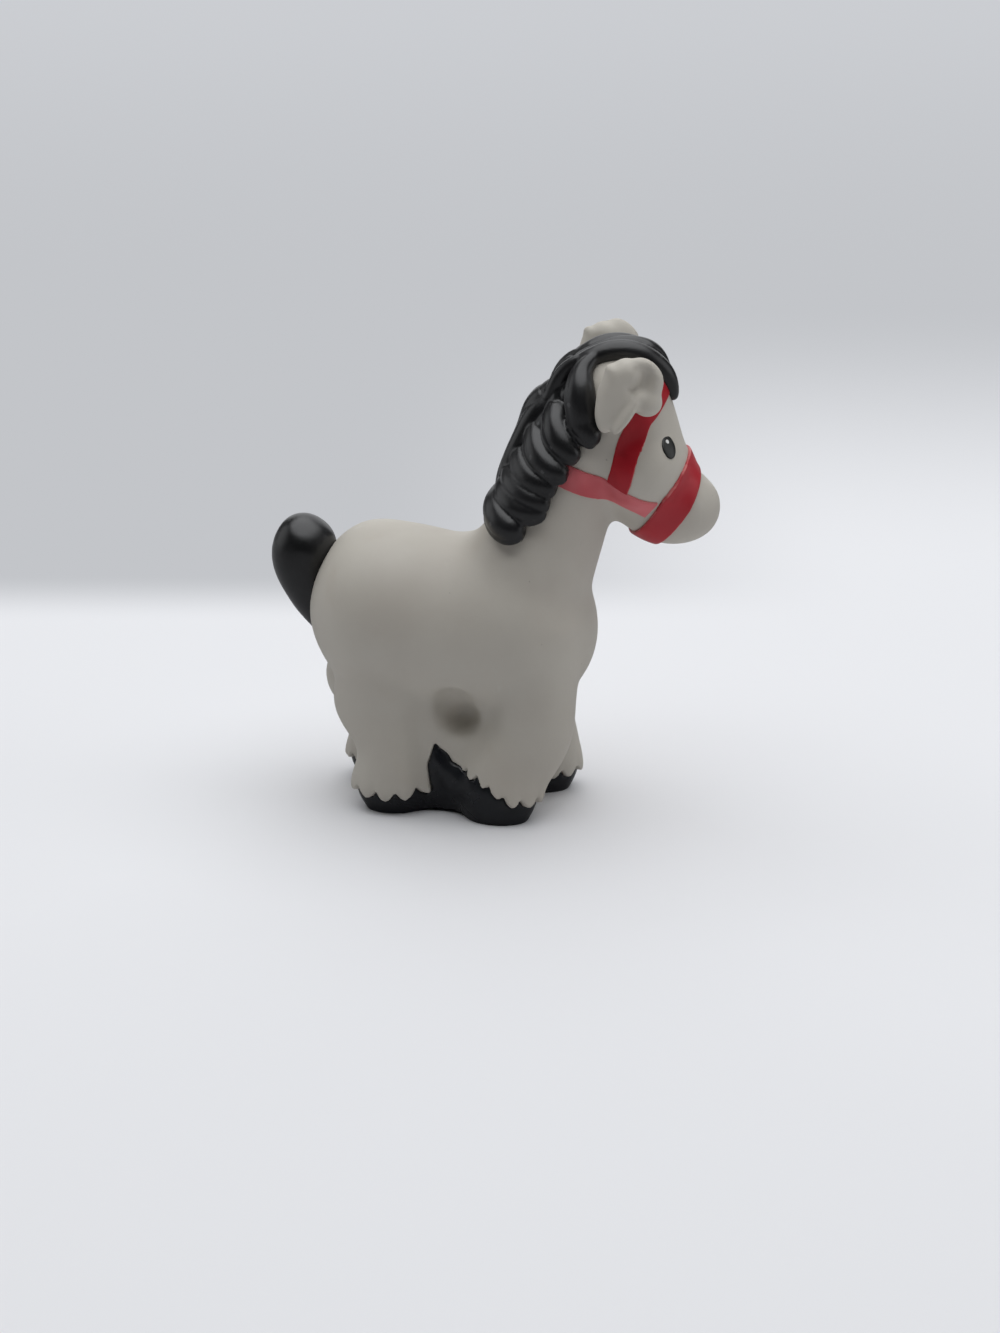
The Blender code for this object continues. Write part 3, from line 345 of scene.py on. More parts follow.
# Ridges on each side of the crest that the locks come out of
RIDGE_WIDTH = 4.4 * MM
RIDGE_ANGLES = (14, 33)
RIDGE_PLACES = (0.46, 0.54, 0.62, 0.70, 0.78, 0.85, 0.92)
RIDGE_RISE_SHARES = (
    (1.50, 2.25, 2.25, 2.00, 1.75, 1.30, 0.70),
    (-0.4, 0.2, 0.3, 0.2, 0.1, 0.0, -0.4),
)
RIDGE_SHARES = (0.45, 0.80, 1.00, 1.00, 0.95, 0.85, 0.60)
FORELOCK_WIDTH = 4.8 * MM
FORELOCK_RISE = 0.35 * MM
FORELOCK_SHARES = (0.50, 0.68, 0.76, 0.76, 0.70, 0.50)
FORELOCK_PATH = ((0.58, 9), (0.46, 14), (0.34, 18), (0.21, 19), (0.09, 15), (-0.02, 9))

# Camera: the photograph's own view, as its place in pixels and its scale
PHOTO_WIDTH = 1000
PHOTO_HEIGHT = 1333
VIEW_AZIMUTH = math.radians(12)
VIEW_ELEVATION = math.radians(18)
FOCAL_PIXELS = 3702
PIXELS_PER_MM = 6.55
AIM_HEIGHT = 38.0 * MM
AIM_PIXEL = (497, 567)
SENSOR_HEIGHT = 36.0
CLIP_ENDS = (0.01, 20)

# Studio: the floor, and the backdrop that the camera sees in its place
FLOOR_HALF_SIZE = 8.0
FLOOR_CELLS = 8
FLOOR_COLOUR = (0.785, 0.785, 0.80)
# Colour at the fold, a painted shade of the sweep bending up, and far beyond it; where the fold
# starts and ends, left and right
FOLD_SHADE_COLOUR = (0.545, 0.558, 0.584)
BACKDROP_COLOUR = (0.600, 0.615, 0.645)
SWEEP_DISTANCES = ((0.085, 0.113), (0.115, 0.320))
SWEEP_SIDES = (-0.03, 0.07)
FADE_DISTANCES = (0.32, 0.80)
# How far from the horse the floor turns into the backdrop in any direction
ROUND_DISTANCES = (0.25, 0.60)
# Lamps with their place, size and power in watts
LAMP_COLOUR = (0.965, 0.98, 1.0)
LAMPS = (
    ("top_softbox", (0.0, 0.04, 0.80), 1.4, 10.0),
    ("back_bounce", (-0.1, 0.75, 0.25), 0.9, 1.8),
    ("right_window", (0.8, 0.1, 0.25), 0.7, 1.1),
    ("left_window", (-0.8, 0.1, 0.25), 0.7, 0.8),
)
ROOM_STRENGTH = 0.03
# How much of the floor is left out of reflections, as black flags beside the horse would do
FLAG_SHARE = 0.6

# Finishes: plain colour, roughness and gloss, and the tones that are laid over each other
PLAIN = {
    "vinyl_grey": ((0.49, 0.46, 0.405), 0.56, 0.5),
    "hair_black": ((0.006, 0.006, 0.007), 0.34, 0.65),
    "hoof_black": ((0.006, 0.007, 0.009), 0.32, 0.5),
    "halter_red": ((0.36, 0.005, 0.014), 0.36, 0.35),
    "eye_black": ((0.014, 0.014, 0.012), 0.34, 0.5),
    "glint_white": ((0.80, 0.80, 0.78), 0.42, 0.5),
    "pale_floor": (FLOOR_COLOUR, 0.8, 0.2),
}
GREY_TONES = (
    (0.498, 0.468, 0.412),
    (0.458, 0.424, 0.372),
    (0.44, 0.39, 0.325),
    (0.21, 0.19, 0.16),
    (0.62, 0.60, 0.56),
)
# Hair: plain black, the dusty bloom, then the lighter ridge tone, partly worn paint and partly a
# painted highlight
HAIR_TONES = ((0.0045, 0.0045, 0.005), (0.009, 0.009, 0.010), (0.04, 0.04, 0.042))
HOOF_TONES = ((0.007, 0.008, 0.0105), (0.012, 0.0135, 0.017), (0.03, 0.032, 0.035))
# Red: plain, darker blotches, a pale painted sheen, and the pink of worn edges
RED_TONES = ((0.39, 0.006, 0.016), (0.32, 0.004, 0.011), (0.85, 0.28, 0.30), (0.62, 0.20, 0.19))
EYE_TONES = ((0.018, 0.018, 0.016), (0.011, 0.011, 0.010))
GLINT_TONES = ((0.84, 0.84, 0.82), (0.74, 0.74, 0.71))
# Noises: waves per metre, detail, the values they step between, and their strength at each end
SPOTS = {
    "blotches": (55, 4, 0.35, 0.68, 0.0, 1.0),
    "warmth": (120, 5, 0.56, 0.74, 0.0, 0.35),
    "specks": (900, 2, 0.765, 0.80, 0.0, 0.5),
    "scuffs": (260, 3, 0.69, 0.76, 0.0, 0.16),
    "vinyl_gloss": (160, 4, 0.3, 0.7, 0.50, 0.64),
    "hair_bloom": (140, 4, 0.35, 0.75, 0.0, 1.0),
    "hair_gloss": (210, 3, 0.3, 0.7, 0.28, 0.37),
    "hoof_bloom": (130, 4, 0.35, 0.7, 0.0, 1.0),
    "hoof_gloss": (240, 3, 0.3, 0.7, 0.24, 0.36),
    "red_blotches": (170, 4, 0.35, 0.7, 0.0, 1.0),
    # Patches of the straps' pale painted sheen
    "red_rub": (90, 3, 0.30, 0.66, 0.25, 0.6),
    "red_wear": (420, 3, 0.36, 0.62, 0.0, 1.0),
    "red_gloss": (230, 3, 0.3, 0.7, 0.34, 0.46),
    "eye_speckle": (900, 3, 0.4, 0.65, 0.0, 1.0),
    "glint_mottle": (1500, 2, 0.4, 0.6, 0.0, 1.0),
}
SCUFF_STRETCH = (1, 1, 0.12)
# Pointiness over which ridges turn lighter: on the hair partly worn paint and partly a painted
# highlight, on the hooves scuffs
HAIR_WEAR_AND_HIGHLIGHT_EDGES = (0.52, 0.60)
HOOF_EDGES = (0.53, 0.62)
STRAP_WEAR = (0.462, 0.485, 0.0, 0.7)
GRAIN_DETAIL = 3
GRAIN_DEPTH = 0.05 * MM


def new_object(name, data):
    """A linked object that holds this mesh, curve, lamp or camera."""
    obj = bpy.data.objects.new(name, data)
    bpy.context.scene.collection.objects.link(obj)
    return obj


def object_from(name, form):
    """An object made from a bmesh, which is freed."""
    mesh = bpy.data.meshes.new(name)
    bmesh.ops.recalc_face_normals(form, faces=form.faces)
    form.to_mesh(mesh)
    form.free()
    return new_object(name, mesh)


@contextlib.contextmanager
def opened(obj):
    """The object's mesh as a bmesh, which is written back at the end."""
    form = bmesh.new()
    form.from_mesh(obj.data)
    yield form
    form.to_mesh(obj.data)
    form.free()


def settle(obj):
    """Replaces the object's mesh by what its modifiers make of it."""
    graph = bpy.context.evaluated_depsgraph_get()
    mesh = bpy.data.meshes.new_from_object(obj.evaluated_get(graph))
    obj.modifiers.clear()
    old = obj.data
    obj.data = mesh
    bpy.data.meshes.remove(old)
    return obj


def copy_of(obj, name):
    return new_object(name, obj.data.copy())


def discard(*objects):
    for obj in objects:
        bpy.data.objects.remove(obj)


def grown(obj, distance):
    """A copy whose surface stands out by the distance along its normals."""
    copy = copy_of(obj, obj.name + "_grown")
    swell = copy.modifiers.new("swell", "DISPLACE")
    swell.direction = "NORMAL"
    swell.mid_level = 0
    swell.strength = distance
    return settle(copy)


def combine(obj, other, operation):
    """Applies a Boolean with the other object, which stays."""
    boolean = obj.modifiers.new(operation.lower(), "BOOLEAN")
    boolean.operation = operation
    boolean.solver = "EXACT"
    boolean.object = other
    return settle(obj)


def keep_largest(obj):
    """Drops the loose crumbs that a cut leaves, so that one body is left."""
    with opened(obj) as form:
        islands = []
        left = set(form.faces)
        while left:
            front = [left.pop()]
            island = list(front)
            while front:
                face = front.pop()
                near = {other for edge in face.edges for other in edge.link_faces} & left
                left -= near
                island.extend(near)
                front.extend(near)
            islands.append(island)
        islands.sort(key=lambda faces: sum(face.calc_area() for face in faces))
        crumbs = [face for island in islands[:-1] for face in island]
        bmesh.ops.delete(form, geom=crumbs, context="FACES")
    return obj


def spline(rows, steps):
    """Catmull-Rom rows through the given rows of numbers, at steps + 1 even parameters."""
    last = len(rows) - 1
    made = []
    for step in range(steps + 1):
        where = last * step / steps
        k = min(int(where), last - 1)
        t = where - k
        near = (rows[max(k - 1, 0)], rows[k], rows[k + 1], rows[min(k + 2, last)])
        made.append(
            tuple(
                0.5
                * (
                    2 * b
                    + (c - a) * t
                    + (2 * a - 5 * b + 4 * c - d) * t * t
                    + (3 * b - a - 3 * c + d) * t**3
                )
                for a, b, c, d in zip(*near)
            )
        )
    return made


def bridge(form, *rings):
    """Adds the faces between each ring of vertices and the next."""
    for ring, following in zip(rings, rings[1:]):
        for n in range(len(ring)):
            m = (n + 1) % len(ring)
            form.faces.new((ring[n], ring[m], following[m], following[n]))


def sweep(form, stations, side):
    """Adds a closed sweep. A station is a centre, a half depth and a half width to the side."""
    rings = []
    centres = [station[0] for station in stations]
    for k, (centre, half_depth, half_width) in enumerate(stations):
        along = (centres[min(k + 1, len(centres) - 1)] - centres[max(k - 1, 0)]).normalized()
        rise = along.cross(side).normalized()
        ring = []
        for n in range(RING_SIDES):
            angle = 2 * math.pi * n / RING_SIDES
            beside = centre + side * half_width * math.cos(angle)
            ring.append(form.verts.new(beside + rise * half_depth * math.sin(angle)))
        rings.append(ring)
    bridge(form, *rings)
    form.faces.new(rings[0][::-1])
    form.faces.new(rings[-1])


def loft(form, origin, forward, upward, size, shares, end):
    """Adds a form with rounded ends along a path in the plane of forward and upward."""
    reach, climb, depth, width = size
    rows = spline(shares, LOFT_FINENESS * len(shares))
    centres = [origin + forward * (reach * row[0]) + upward * (climb * row[1]) for row in rows]
    gone = [0.0]
    for centre, following in zip(centres, centres[1:]):
        gone.append(gone[-1] + (following - centre).length)
    stations = []
    for step in range(LOFT_STEPS + 1):
        turn = math.pi * (step + END_SKIP) / (LOFT_STEPS + 2 * END_SKIP)
        place = gone[-1] * (1 - math.cos(turn)) / 2
        k = min(bisect.bisect_right(gone, place), len(gone) - 1)
        mix = (place - gone[k - 1]) / (gone[k] - gone[k - 1])
        centre = centres[k - 1].lerp(centres[k], mix)
        row = [a + (b - a) * mix for a, b in zip(rows[k - 1], rows[k])]
        flatness = max(0.0, 1 - min(place, gone[-1] - place) / end)
        roundness = math.sqrt(1 - flatness * flatness)
        stations.append((centre, depth / 2 * row[2] * roundness, width / 2 * row[3] * roundness))
    sweep(form, stations, upward.cross(forward))


def ball(form, centre, radii, turn=Matrix()):
    """Adds an ellipsoid."""
    bmesh.ops.create_icosphere(
        form,
        subdivisions=BALL_SUBDIVISIONS,
        radius=1,
        matrix=Matrix.Translation(centre) @ turn @ Matrix.Diagonal((*radii, 1)),
    )


def wrapped(obj, voxel, spread):
    """The object under one smooth skin, with its creases spread out."""
    wrap = obj.modifiers.new("wrap", "REMESH")
    wrap.mode = "VOXEL"
    wrap.voxel_size = voxel
    smooth = obj.modifiers.new("smooth", "SMOOTH")
    smooth.factor = 0.5
    smooth.iterations = max(1, round((2 * spread / voxel) ** 2))
    return settle(obj)


def thin_out(obj, triangles):
    """Collapses the mesh to about that many triangles."""
    count = sum(len(face.vertices) - 2 for face in obj.data.polygons)
    collapse = obj.modifiers.new("thin", "DECIMATE")
    collapse.ratio = min(1.0, triangles / count)
    return settle(obj)


def head_frame():
    """Crown point, level direction to the front of the head, and its left."""
    level = X_AXIS * math.cos(HEAD_TURN) + Y_AXIS * math.sin(HEAD_TURN)
    return CROWN, level, Z_AXIS.cross(level)


def in_head(reach_share, climb_share, side_share):
    """A point given as shares of the head's reach, drop and width."""
    crown, level, side = head_frame()
    reach, climb, _, width = HEAD_SIZE
    return (
        crown
        + level * (reach * reach_share)
        + Z_AXIS * (climb * climb_share)
        + side * (width * side_share)
    )


def legs():
    """Side sign, foot and hip positions and profile of each leg."""
    return (
        (-1, RIGHT_FORE_X, FORE_SIDES, FORE_LEG_SHARES),
        (1, LEFT_FORE_X, FORE_SIDES, FORE_LEG_SHARES),
        (-1, RIGHT_HIND_X, HIND_SIDES, HIND_LEG_SHARES),
        (1, LEFT_HIND_X, HIND_SIDES, HIND_LEG_SHARES),
    )


def add_leg(form, leg):
    """Adds one leg from the floor up into the trunk."""
    sign, places, sides, shares = leg
    stations = []
    for height, way, length, width in spline(shares, LOFT_STEPS):
        x = places[0] + (places[1] - places[0]) * way
        y = sign * (sides[0] + (sides[1] - sides[0]) * way)
        centre = Vector((x, y, HIP_HEIGHT * height))
        stations.append((centre, FOOT_LENGTH / 2 * length, FOOT_WIDTH / 2 * width))
    sweep(form, stations, -Y_AXIS)


def core_form():
    """The trunk, neck, head, legs and web under one smooth skin."""
    form = bmesh.new()
    trunk_rear = Vector((TRUNK_REAR, 0, TRUNK_HEIGHT))
    loft(form, trunk_rear, X_AXIS, Z_AXIS, TRUNK_SIZE, TRUNK_SHARES, TRUNK_END)
    loft(form, NECK_ROOT, NECK_ALONG, NECK_CREST, NECK_SIZE, NECK_SHARES, NECK_END)
    crown, level, _ = head_frame()
    loft(form, crown, level, Z_AXIS, HEAD_SIZE, HEAD_SHARES, HEAD_END)
    reach, climb, across = CHEEK_SHARES
    for sign in (-1, 1):
        ball(form, in_head(reach, climb, sign * across), (CHEEK_RADIUS,) * 3)
    for leg in legs():
        add_leg(form, leg)
    web = [
        (
            Vector((WEB_CENTRE_X, 0, WEB_HEIGHT * height)),
            WEB_LENGTH / 2 * length,
            WEB_WIDTH / 2 * width,
        )
        for height, length, width in spline(WEB_SHARES, WEB_STEPS)
    ]
    sweep(form, web, -Y_AXIS)
    core = wrapped(object_from("core", form), FORM_VOXEL, JOINT_SPREAD)
    for start, sign in DIMPLE_STARTS:
        for (along, aside, above), radii in zip(DIMPLE_OFFSETS, DIMPLE_RADII):
            dimple = bmesh.new()
            ball(dimple, Vector((start + along, sign * aside, above)), radii)
            dimple = object_from("dimple", dimple)
            combine(core, dimple, "DIFFERENCE")
            discard(dimple)
    return wrapped(core, FORM_VOXEL, CREASE_SPREAD)


def ear(sign):
    """One ear: a leaf on the side of the head, hollowed from outside, with a lobe."""
    _, level, side = head_frame()
    lift = LEFT_EAR_LIFT if sign > 0 else 0.0

    def place(shares):
        reach, climb, across = shares
        return in_head(reach, climb - lift, sign * across)

    outward = side * sign
    up = level * math.cos(EAR_TILT) + Z_AXIS * math.sin(EAR_TILT)
    up = up * math.cos(EAR_SPLAY) + outward * math.sin(EAR_SPLAY)
    ahead = level * math.sin(EAR_TILT) - Z_AXIS * math.cos(EAR_TILT)
    leaf = bmesh.new()
    loft(leaf, place(EAR_ROOT_SHARES), up, ahead, EAR_SIZE, EAR_SHARES, EAR_END)
    leaf = object_from("leaf", leaf)
    along = level * math.cos(EAR_FOLD_TILT) + Z_AXIS * math.sin(EAR_FOLD_TILT)
    turn = Matrix((along, side.cross(along), side)).transposed().to_4x4()
    hollow = bmesh.new()
    ball(hollow, place(HOLLOW_SHARES), HOLLOW_RADII, turn)
    hollow = object_from("hollow", hollow)
    combine(leaf, hollow, "DIFFERENCE")
    discard(hollow)
    made = bmesh.new()
    made.from_mesh(leaf.data)
    ball(made, place(LOBE_SHARES), (LOBE_RADIUS,) * 3)
    ball(made, place(TIP_SHARES), (TIP_RADIUS,) * 3)
    ball(made, place(EAR_FOLD_SHARES), EAR_FOLD_RADII, turn)
    discard(leaf)
    return made


def whole_form(core):
    """The whole grey form with its ears, before anything is cut out of it."""
    form = bmesh.new()
    form.from_mesh(core.data)
    for sign in (-1, 1):
        part = ear(sign)
        mesh = bpy.data.meshes.new("ear")
        part.to_mesh(mesh)
        part.free()
        form.from_mesh(mesh)
        bpy.data.meshes.remove(mesh)
    return wrapped(object_from("whole", form), FORM_VOXEL, EAR_SPREAD)


def rim_height(leg, turn):
    """Height of the feathered edge around a foot, without its lobes."""
    heights = FORE_FEATHER_SHARES if leg[3] is FORE_LEG_SHARES else HIND_FEATHER_SHARES
    where = turn % 1 * len(heights)
    k = int(where)
    mix = where - k
    mix = mix * mix * (3 - 2 * mix)
    return FEATHER_HEIGHT * (heights[k] + (heights[(k + 1) % len(heights)] - heights[k]) * mix)


def lobes_of(leg):
    return FORE_LOBES if leg[3] is FORE_LEG_SHARES else HIND_LOBES


def feather_form(leg, drop):
    """A cup around one foot whose rim follows the feathered edge; what it covers is black."""
    sign, places, sides, _ = leg
    lobes = lobes_of(leg)
    count = lobes * LOBE_STEPS
    lowest = min(rim_height(leg, n / count) for n in range(count)) - FEATHER_DROP
    form = bmesh.new()
    rings = []
    for ring, radius in enumerate((*FEATHER_RADII[:-1], FEATHER_RADII[-1] - drop)):
        verts = []
        for n in range(count):
            turn = n / count
            lobe = abs(math.sin(math.pi * turn * lobes))
            height = lowest if ring == 0 else rim_height(leg, turn) - FEATHER_DROP * lobe
            angle = sign * 2 * math.pi * (0.5 - turn)
            x = places[0] + radius * math.cos(angle)
            y = sign * sides[0] + radius * math.sin(angle)
            verts.append(form.verts.new((x, y, height - drop)))
        rings.append(verts)
    rings.append([form.verts.new((vert.co.x, vert.co.y, -OVERRUN)) for vert in rings[-1]])
    bridge(form, *rings)
    form.faces.new(rings[0])
    form.faces.new(rings[-1])
    bmesh.ops.triangulate(form, faces=form.faces, quad_method="FIXED")
    return object_from("feather", form)


def prism(name, outline, ends):
    """A prism along Y between its two ends, whose outline is given in X and Z."""
    form = bmesh.new()
    sides = [[form.verts.new((x, y, z)) for x, z in outline] for y in ends]
    bridge(form, *sides)
    for side in sides:
        form.faces.new(side)
    return object_from(name, form)


def black_region(drop):
    """Everything that the black base may fill, with its top and sides drawn in by the drop."""
    rear, front = (SLAB_ENDS[0] + drop, SLAB_ENDS[1] - drop)
    height = SLAB_HEIGHT - drop
    outline = ((rear, -OVERRUN), (front, -OVERRUN), (front, height), (rear, height))
    half_width = SLAB_HALF_WIDTH - drop
    region = prism("region", outline, (-half_width, half_width))
    added = []
    for sign, shares in ((-1, RIGHT_ARCH_SHARES), (1, LEFT_ARCH_SHARES)):
        top = [
            (
                WEB_CENTRE_X
                + WEB_LENGTH * along
                + drop * ((along < ARCH_PEAK_SHARES[0]) - (along > ARCH_PEAK_SHARES[1])),
                WEB_HEIGHT * climb - drop,
            )
            for along, climb in shares
        ]
        outline = [(top[0][0], -OVERRUN), *top, (top[-1][0], -OVERRUN)]
        ends = (-sign * ARCH_OVERLAP, sign * (ARCH_HALF_WIDTH - drop))
        added.append(prism("arch", outline, ends))
    added += [feather_form(leg, drop) for leg in legs()]
    for other in added:
        combine(region, other, "UNION")
    discard(*added)
    return region


def flatten_sole(obj):
    """Cuts the object off flat at the floor."""
    with opened(obj) as form:
        bmesh.ops.bisect_plane(
            form,
            geom=form.verts[:] + form.edges[:] + form.faces[:],
            plane_co=(0, 0, 0),
            plane_no=(0, 0, -1),
            clear_outer=True,
        )
        rim = [edge for edge in form.edges if edge.is_boundary]
        bmesh.ops.contextual_create(form, geom=rim)
        bmesh.ops.triangulate(form, faces=[face for face in form.faces if len(face.verts) > 4])
    return obj


def flared(obj):
    """The object with the web's flares, its hollows between the feet well rounded out."""
    turn = Matrix.Rotation(FLARE_TURN, 4, "Y")
    along, aside, above = FLARE_OFFSETS
    with opened(obj) as form:
        for start, sign in FLARE_STARTS:
            ball(form, Vector((start + along, sign * aside, above)), FLARE_RADII, turn)
    return wrapped(obj, FORM_VOXEL, WEB_SPREAD)


def tail_form():
    """The tail with its peg under one skin."""
    form = bmesh.new()
    root = Vector((TRUNK_REAR + TAIL_INSET, 0, TRUNK_HEIGHT + TAIL_RISE))
    loft(form, root, X_AXIS, Z_AXIS, TAIL_SIZE, TAIL_SHARES, TAIL_END)
    peg = [
        (Vector((x, 0, TAIL_PEG_HEIGHT)), TAIL_PEG_RADIUS, TAIL_PEG_RADIUS) for x in TAIL_PEG_ENDS
    ]
    sweep(form, peg, Y_AXIS)
    return wrapped(object_from("tail_hair", form), SKIN_VOXEL, EAR_SPREAD)


def surface_of(obj):
    """A tree for finding points on the object's surface."""
    return BVHTree.FromObject(obj, bpy.context.evaluated_depsgraph_get())


def on_surface(surface, start, direction):
    """Where a ray from inside leaves the surface, with the normal there."""
    point, normal, _, _ = surface.ray_cast(start, direction.normalized())
    return point, normal


def node_tree(name, inputs):
    """A Geometry Nodes tree with these named inputs after its geometry, and its group nodes."""
    tree = bpy.data.node_groups.new(name, "GeometryNodeTree")
    tree.interface.new_socket("Geometry", in_out="INPUT", socket_type="NodeSocketGeometry")
    tree.interface.new_socket("Geometry", in_out="OUTPUT", socket_type="NodeSocketGeometry")
    for label, kind in inputs:
        tree.interface.new_socket(label, in_out="INPUT", socket_type=kind)
    return tree, tree.nodes.new("NodeGroupInput"), tree.nodes.new("NodeGroupOutput")


def feed(modifier, **values):
    """Sets a tree's named inputs on its modifier, by the identifiers of their sockets."""
    for item in modifier.node_group.interface.items_tree:
        label = getattr(item, "name", "").replace(" ", "_").lower()
        if item.item_type == "SOCKET" and item.in_out == "INPUT" and label in values:
            modifier[item.identifier] = values[label]


def math_node(tree, operation, first, second=None, clamp=False):
    """A Math node over links or numbers; gives its result socket."""
    node = tree.nodes.new("ShaderNodeMath")
    node.operation = operation
    node.use_clamp = clamp
    for socket, value in zip(node.inputs, (first, second)):
        if isinstance(value, (int, float)):
            socket.default_value = value
        elif value is not None:
            tree.links.new(value, socket)
    return node.outputs[0]


def vector_node(tree, operation):
    """A Vector Math node."""
    node = tree.nodes.new("ShaderNodeVectorMath")
    node.operation = operation
    return node


def wire(source, output, target, entry):
    """Links an output of one node to an input of another."""
    source.id_data.links.new(source.outputs[output], target.inputs[entry])


def end_tree(given, result, last, output="Geometry"):
    """Ends a tree: realizes what its last node gives and sets the Finish, if the tree has one."""
    nodes = given.id_data.nodes
    real = nodes.new("GeometryNodeRealizeInstances")
    wire(last, output, real, "Geometry")
    if "Finish" in given.outputs:
        finish = nodes.new("GeometryNodeSetMaterial")
        wire(real, "Geometry", finish, "Geometry")
        wire(given, "Finish", finish, "Material")
        real = finish
    wire(real, "Geometry", result, "Geometry")


def lock_tree():
    """Hair locks: each spline, whose points carry their radius, becomes one closed lock."""
    tree, given, result = node_tree(
        "hair_locks",
        (
            ("Thickness", "NodeSocketFloat"),
            ("Sides", "NodeSocketInt"),
            ("Finish", "NodeSocketMaterial"),
        ),
    )
    circle = tree.nodes.new("GeometryNodeCurvePrimitiveCircle")
    body = tree.nodes.new("GeometryNodeCurveToMesh")
    body.inputs["Fill Caps"].default_value = True
    wire(given, "Sides", circle, "Resolution")
    wire(given, "Thickness", circle, "Radius")
    wire(given, "Geometry", body, "Curve")
    wire(circle, "Curve", body, "Profile Curve")
    if "Scale" in body.inputs:
        wire(tree.nodes.new("GeometryNodeInputRadius"), 0, body, "Scale")
    end_tree(given, result, body, "Mesh")
    return tree


def tuft_tree():
    """Tufts above a feathered hem: swells the skin around one foot in lobes that fade upwards."""
    labels = ("Centre X", "Centre Y", "Side", "Lobes", "Rise", "Fade", "Reach", "Top")
    rows = [(label, "NodeSocketFloat") for label in labels]
    tree, given, result = node_tree("feather_tufts", rows)
    centre_x, centre_y, side, lobes, rise, fade, reach, top = (
        given.outputs[label] for label in labels
    )

    def calc(operation, first, second=None, clamp=False):
        return math_node(tree, operation, first, second, clamp)

    split = tree.nodes.new("ShaderNodeSeparateXYZ")
    wire(tree.nodes.new("GeometryNodeInputPosition"), 0, split, 0)
    away_x = calc("SUBTRACT", split.outputs[0], centre_x)
    away_y = calc("SUBTRACT", split.outputs[1], centre_y)
    mirrored = calc("MULTIPLY", away_y, side)
    angle = calc("ARCTAN2", mirrored, away_x)
    turn = calc("SUBTRACT", 0.5, calc("DIVIDE", angle, 2 * math.pi))
    wave = calc("SINE", calc("MULTIPLY", calc("MULTIPLY", turn, math.pi), lobes))
    soft = calc("POWER", calc("ABSOLUTE", wave), TUFT_SOFTNESS)
    squares = calc("ADD", calc("MULTIPLY", away_x, away_x), calc("MULTIPLY", away_y, away_y))
    near = calc("LESS_THAN", calc("DIVIDE", calc("SQRT", squares), reach), 1.0)
    above = calc("SUBTRACT", split.outputs[2], top)
    left = calc("SUBTRACT", 1.0, calc("DIVIDE", above, fade, clamp=True), clamp=True)
    outer = calc("GREATER_THAN", mirrored, -TUFT_OVERLAP)
    height = calc("MULTIPLY", calc("MULTIPLY", soft, calc("MULTIPLY", left, left)), rise)
    height = calc("MULTIPLY", height, calc("MULTIPLY", near, outer))
    scale = vector_node(tree, "SCALE")
    wire(tree.nodes.new("GeometryNodeInputNormal"), 0, scale, 0)
    tree.links.new(height, scale.inputs["Scale"])
    move = tree.nodes.new("GeometryNodeSetPosition")
    wire(given, "Geometry", move, "Geometry")
    wire(scale, 0, move, "Offset")
    end_tree(given, result, move)
    return tree


def add_tufts(obj):
    """Runs the tuft tree around each of the four feet."""
    tree = tuft_tree()
    for leg in legs():
        sign, places, sides, _ = leg
        tufts = obj.modifiers.new("tufts", "NODES")
        tufts.node_group = tree
        feed(
            tufts,
            centre_x=places[0],
            centre_y=sign * sides[0],
            side=float(sign),
            lobes=float(lobes_of(leg)),
            rise=TUFT_RISE,
            fade=TUFT_FADE,
            reach=TUFT_REACH,
            top=TUFT_TOP,
        )
    return settle(obj)


def band_tree():
    """A band on a skin: casts each point of a grid of aims onto the skin and lifts its section."""
    tree, given, result = node_tree(
        "band_on_skin", (("Skin", "NodeSocketObject"), ("Finish", "NodeSocketMaterial"))
    )
    skin = tree.nodes.new("GeometryNodeObjectInfo")
    cast = tree.nodes.new("GeometryNodeRaycast")
    lift = vector_node(tree, "SCALE")
    total = vector_node(tree, "ADD")
    move = tree.nodes.new("GeometryNodeSetPosition")
    cast.inputs["Ray Length"].default_value = CAST_LENGTH
    wire(given, "Skin", skin, "Object")
    wire(skin, "Geometry", cast, "Target Geometry")
    for name, kind, node, entry in (
        ("aim", "FLOAT_VECTOR", cast, "Ray Direction"),
        ("start", "FLOAT_VECTOR", cast, "Source Position"),
        ("lift", "FLOAT", lift, "Scale"),
    ):
        attribute = tree.nodes.new("GeometryNodeInputNamedAttribute")
        attribute.data_type = kind
        attribute.inputs["Name"].default_value = name
        wire(attribute, "Attribute", node, entry)
    wire(cast, "Hit Normal", lift, 0)
    wire(cast, "Hit Position", total, 0)
    wire(lift, 0, total, 1)
    wire(given, "Geometry", move, "Geometry")
    wire(total, 0, move, "Position")
    end_tree(given, result, move)
    return tree


def section_lanes(low, high, round_off):
    """The band's section: place across from -0.5 to 0.5 and height, over the top and below."""
    edge = [(STRAP_EDGE[0][0], low)]
    edge += [(place, high - round_off * share) for place, share in STRAP_EDGE]
    places = [k / STRAP_LANES - 0.5 for k in range(1, STRAP_LANES)]
    return [*edge, *((place, high) for place in places), *((-p, h) for p, h in reversed(edge))]


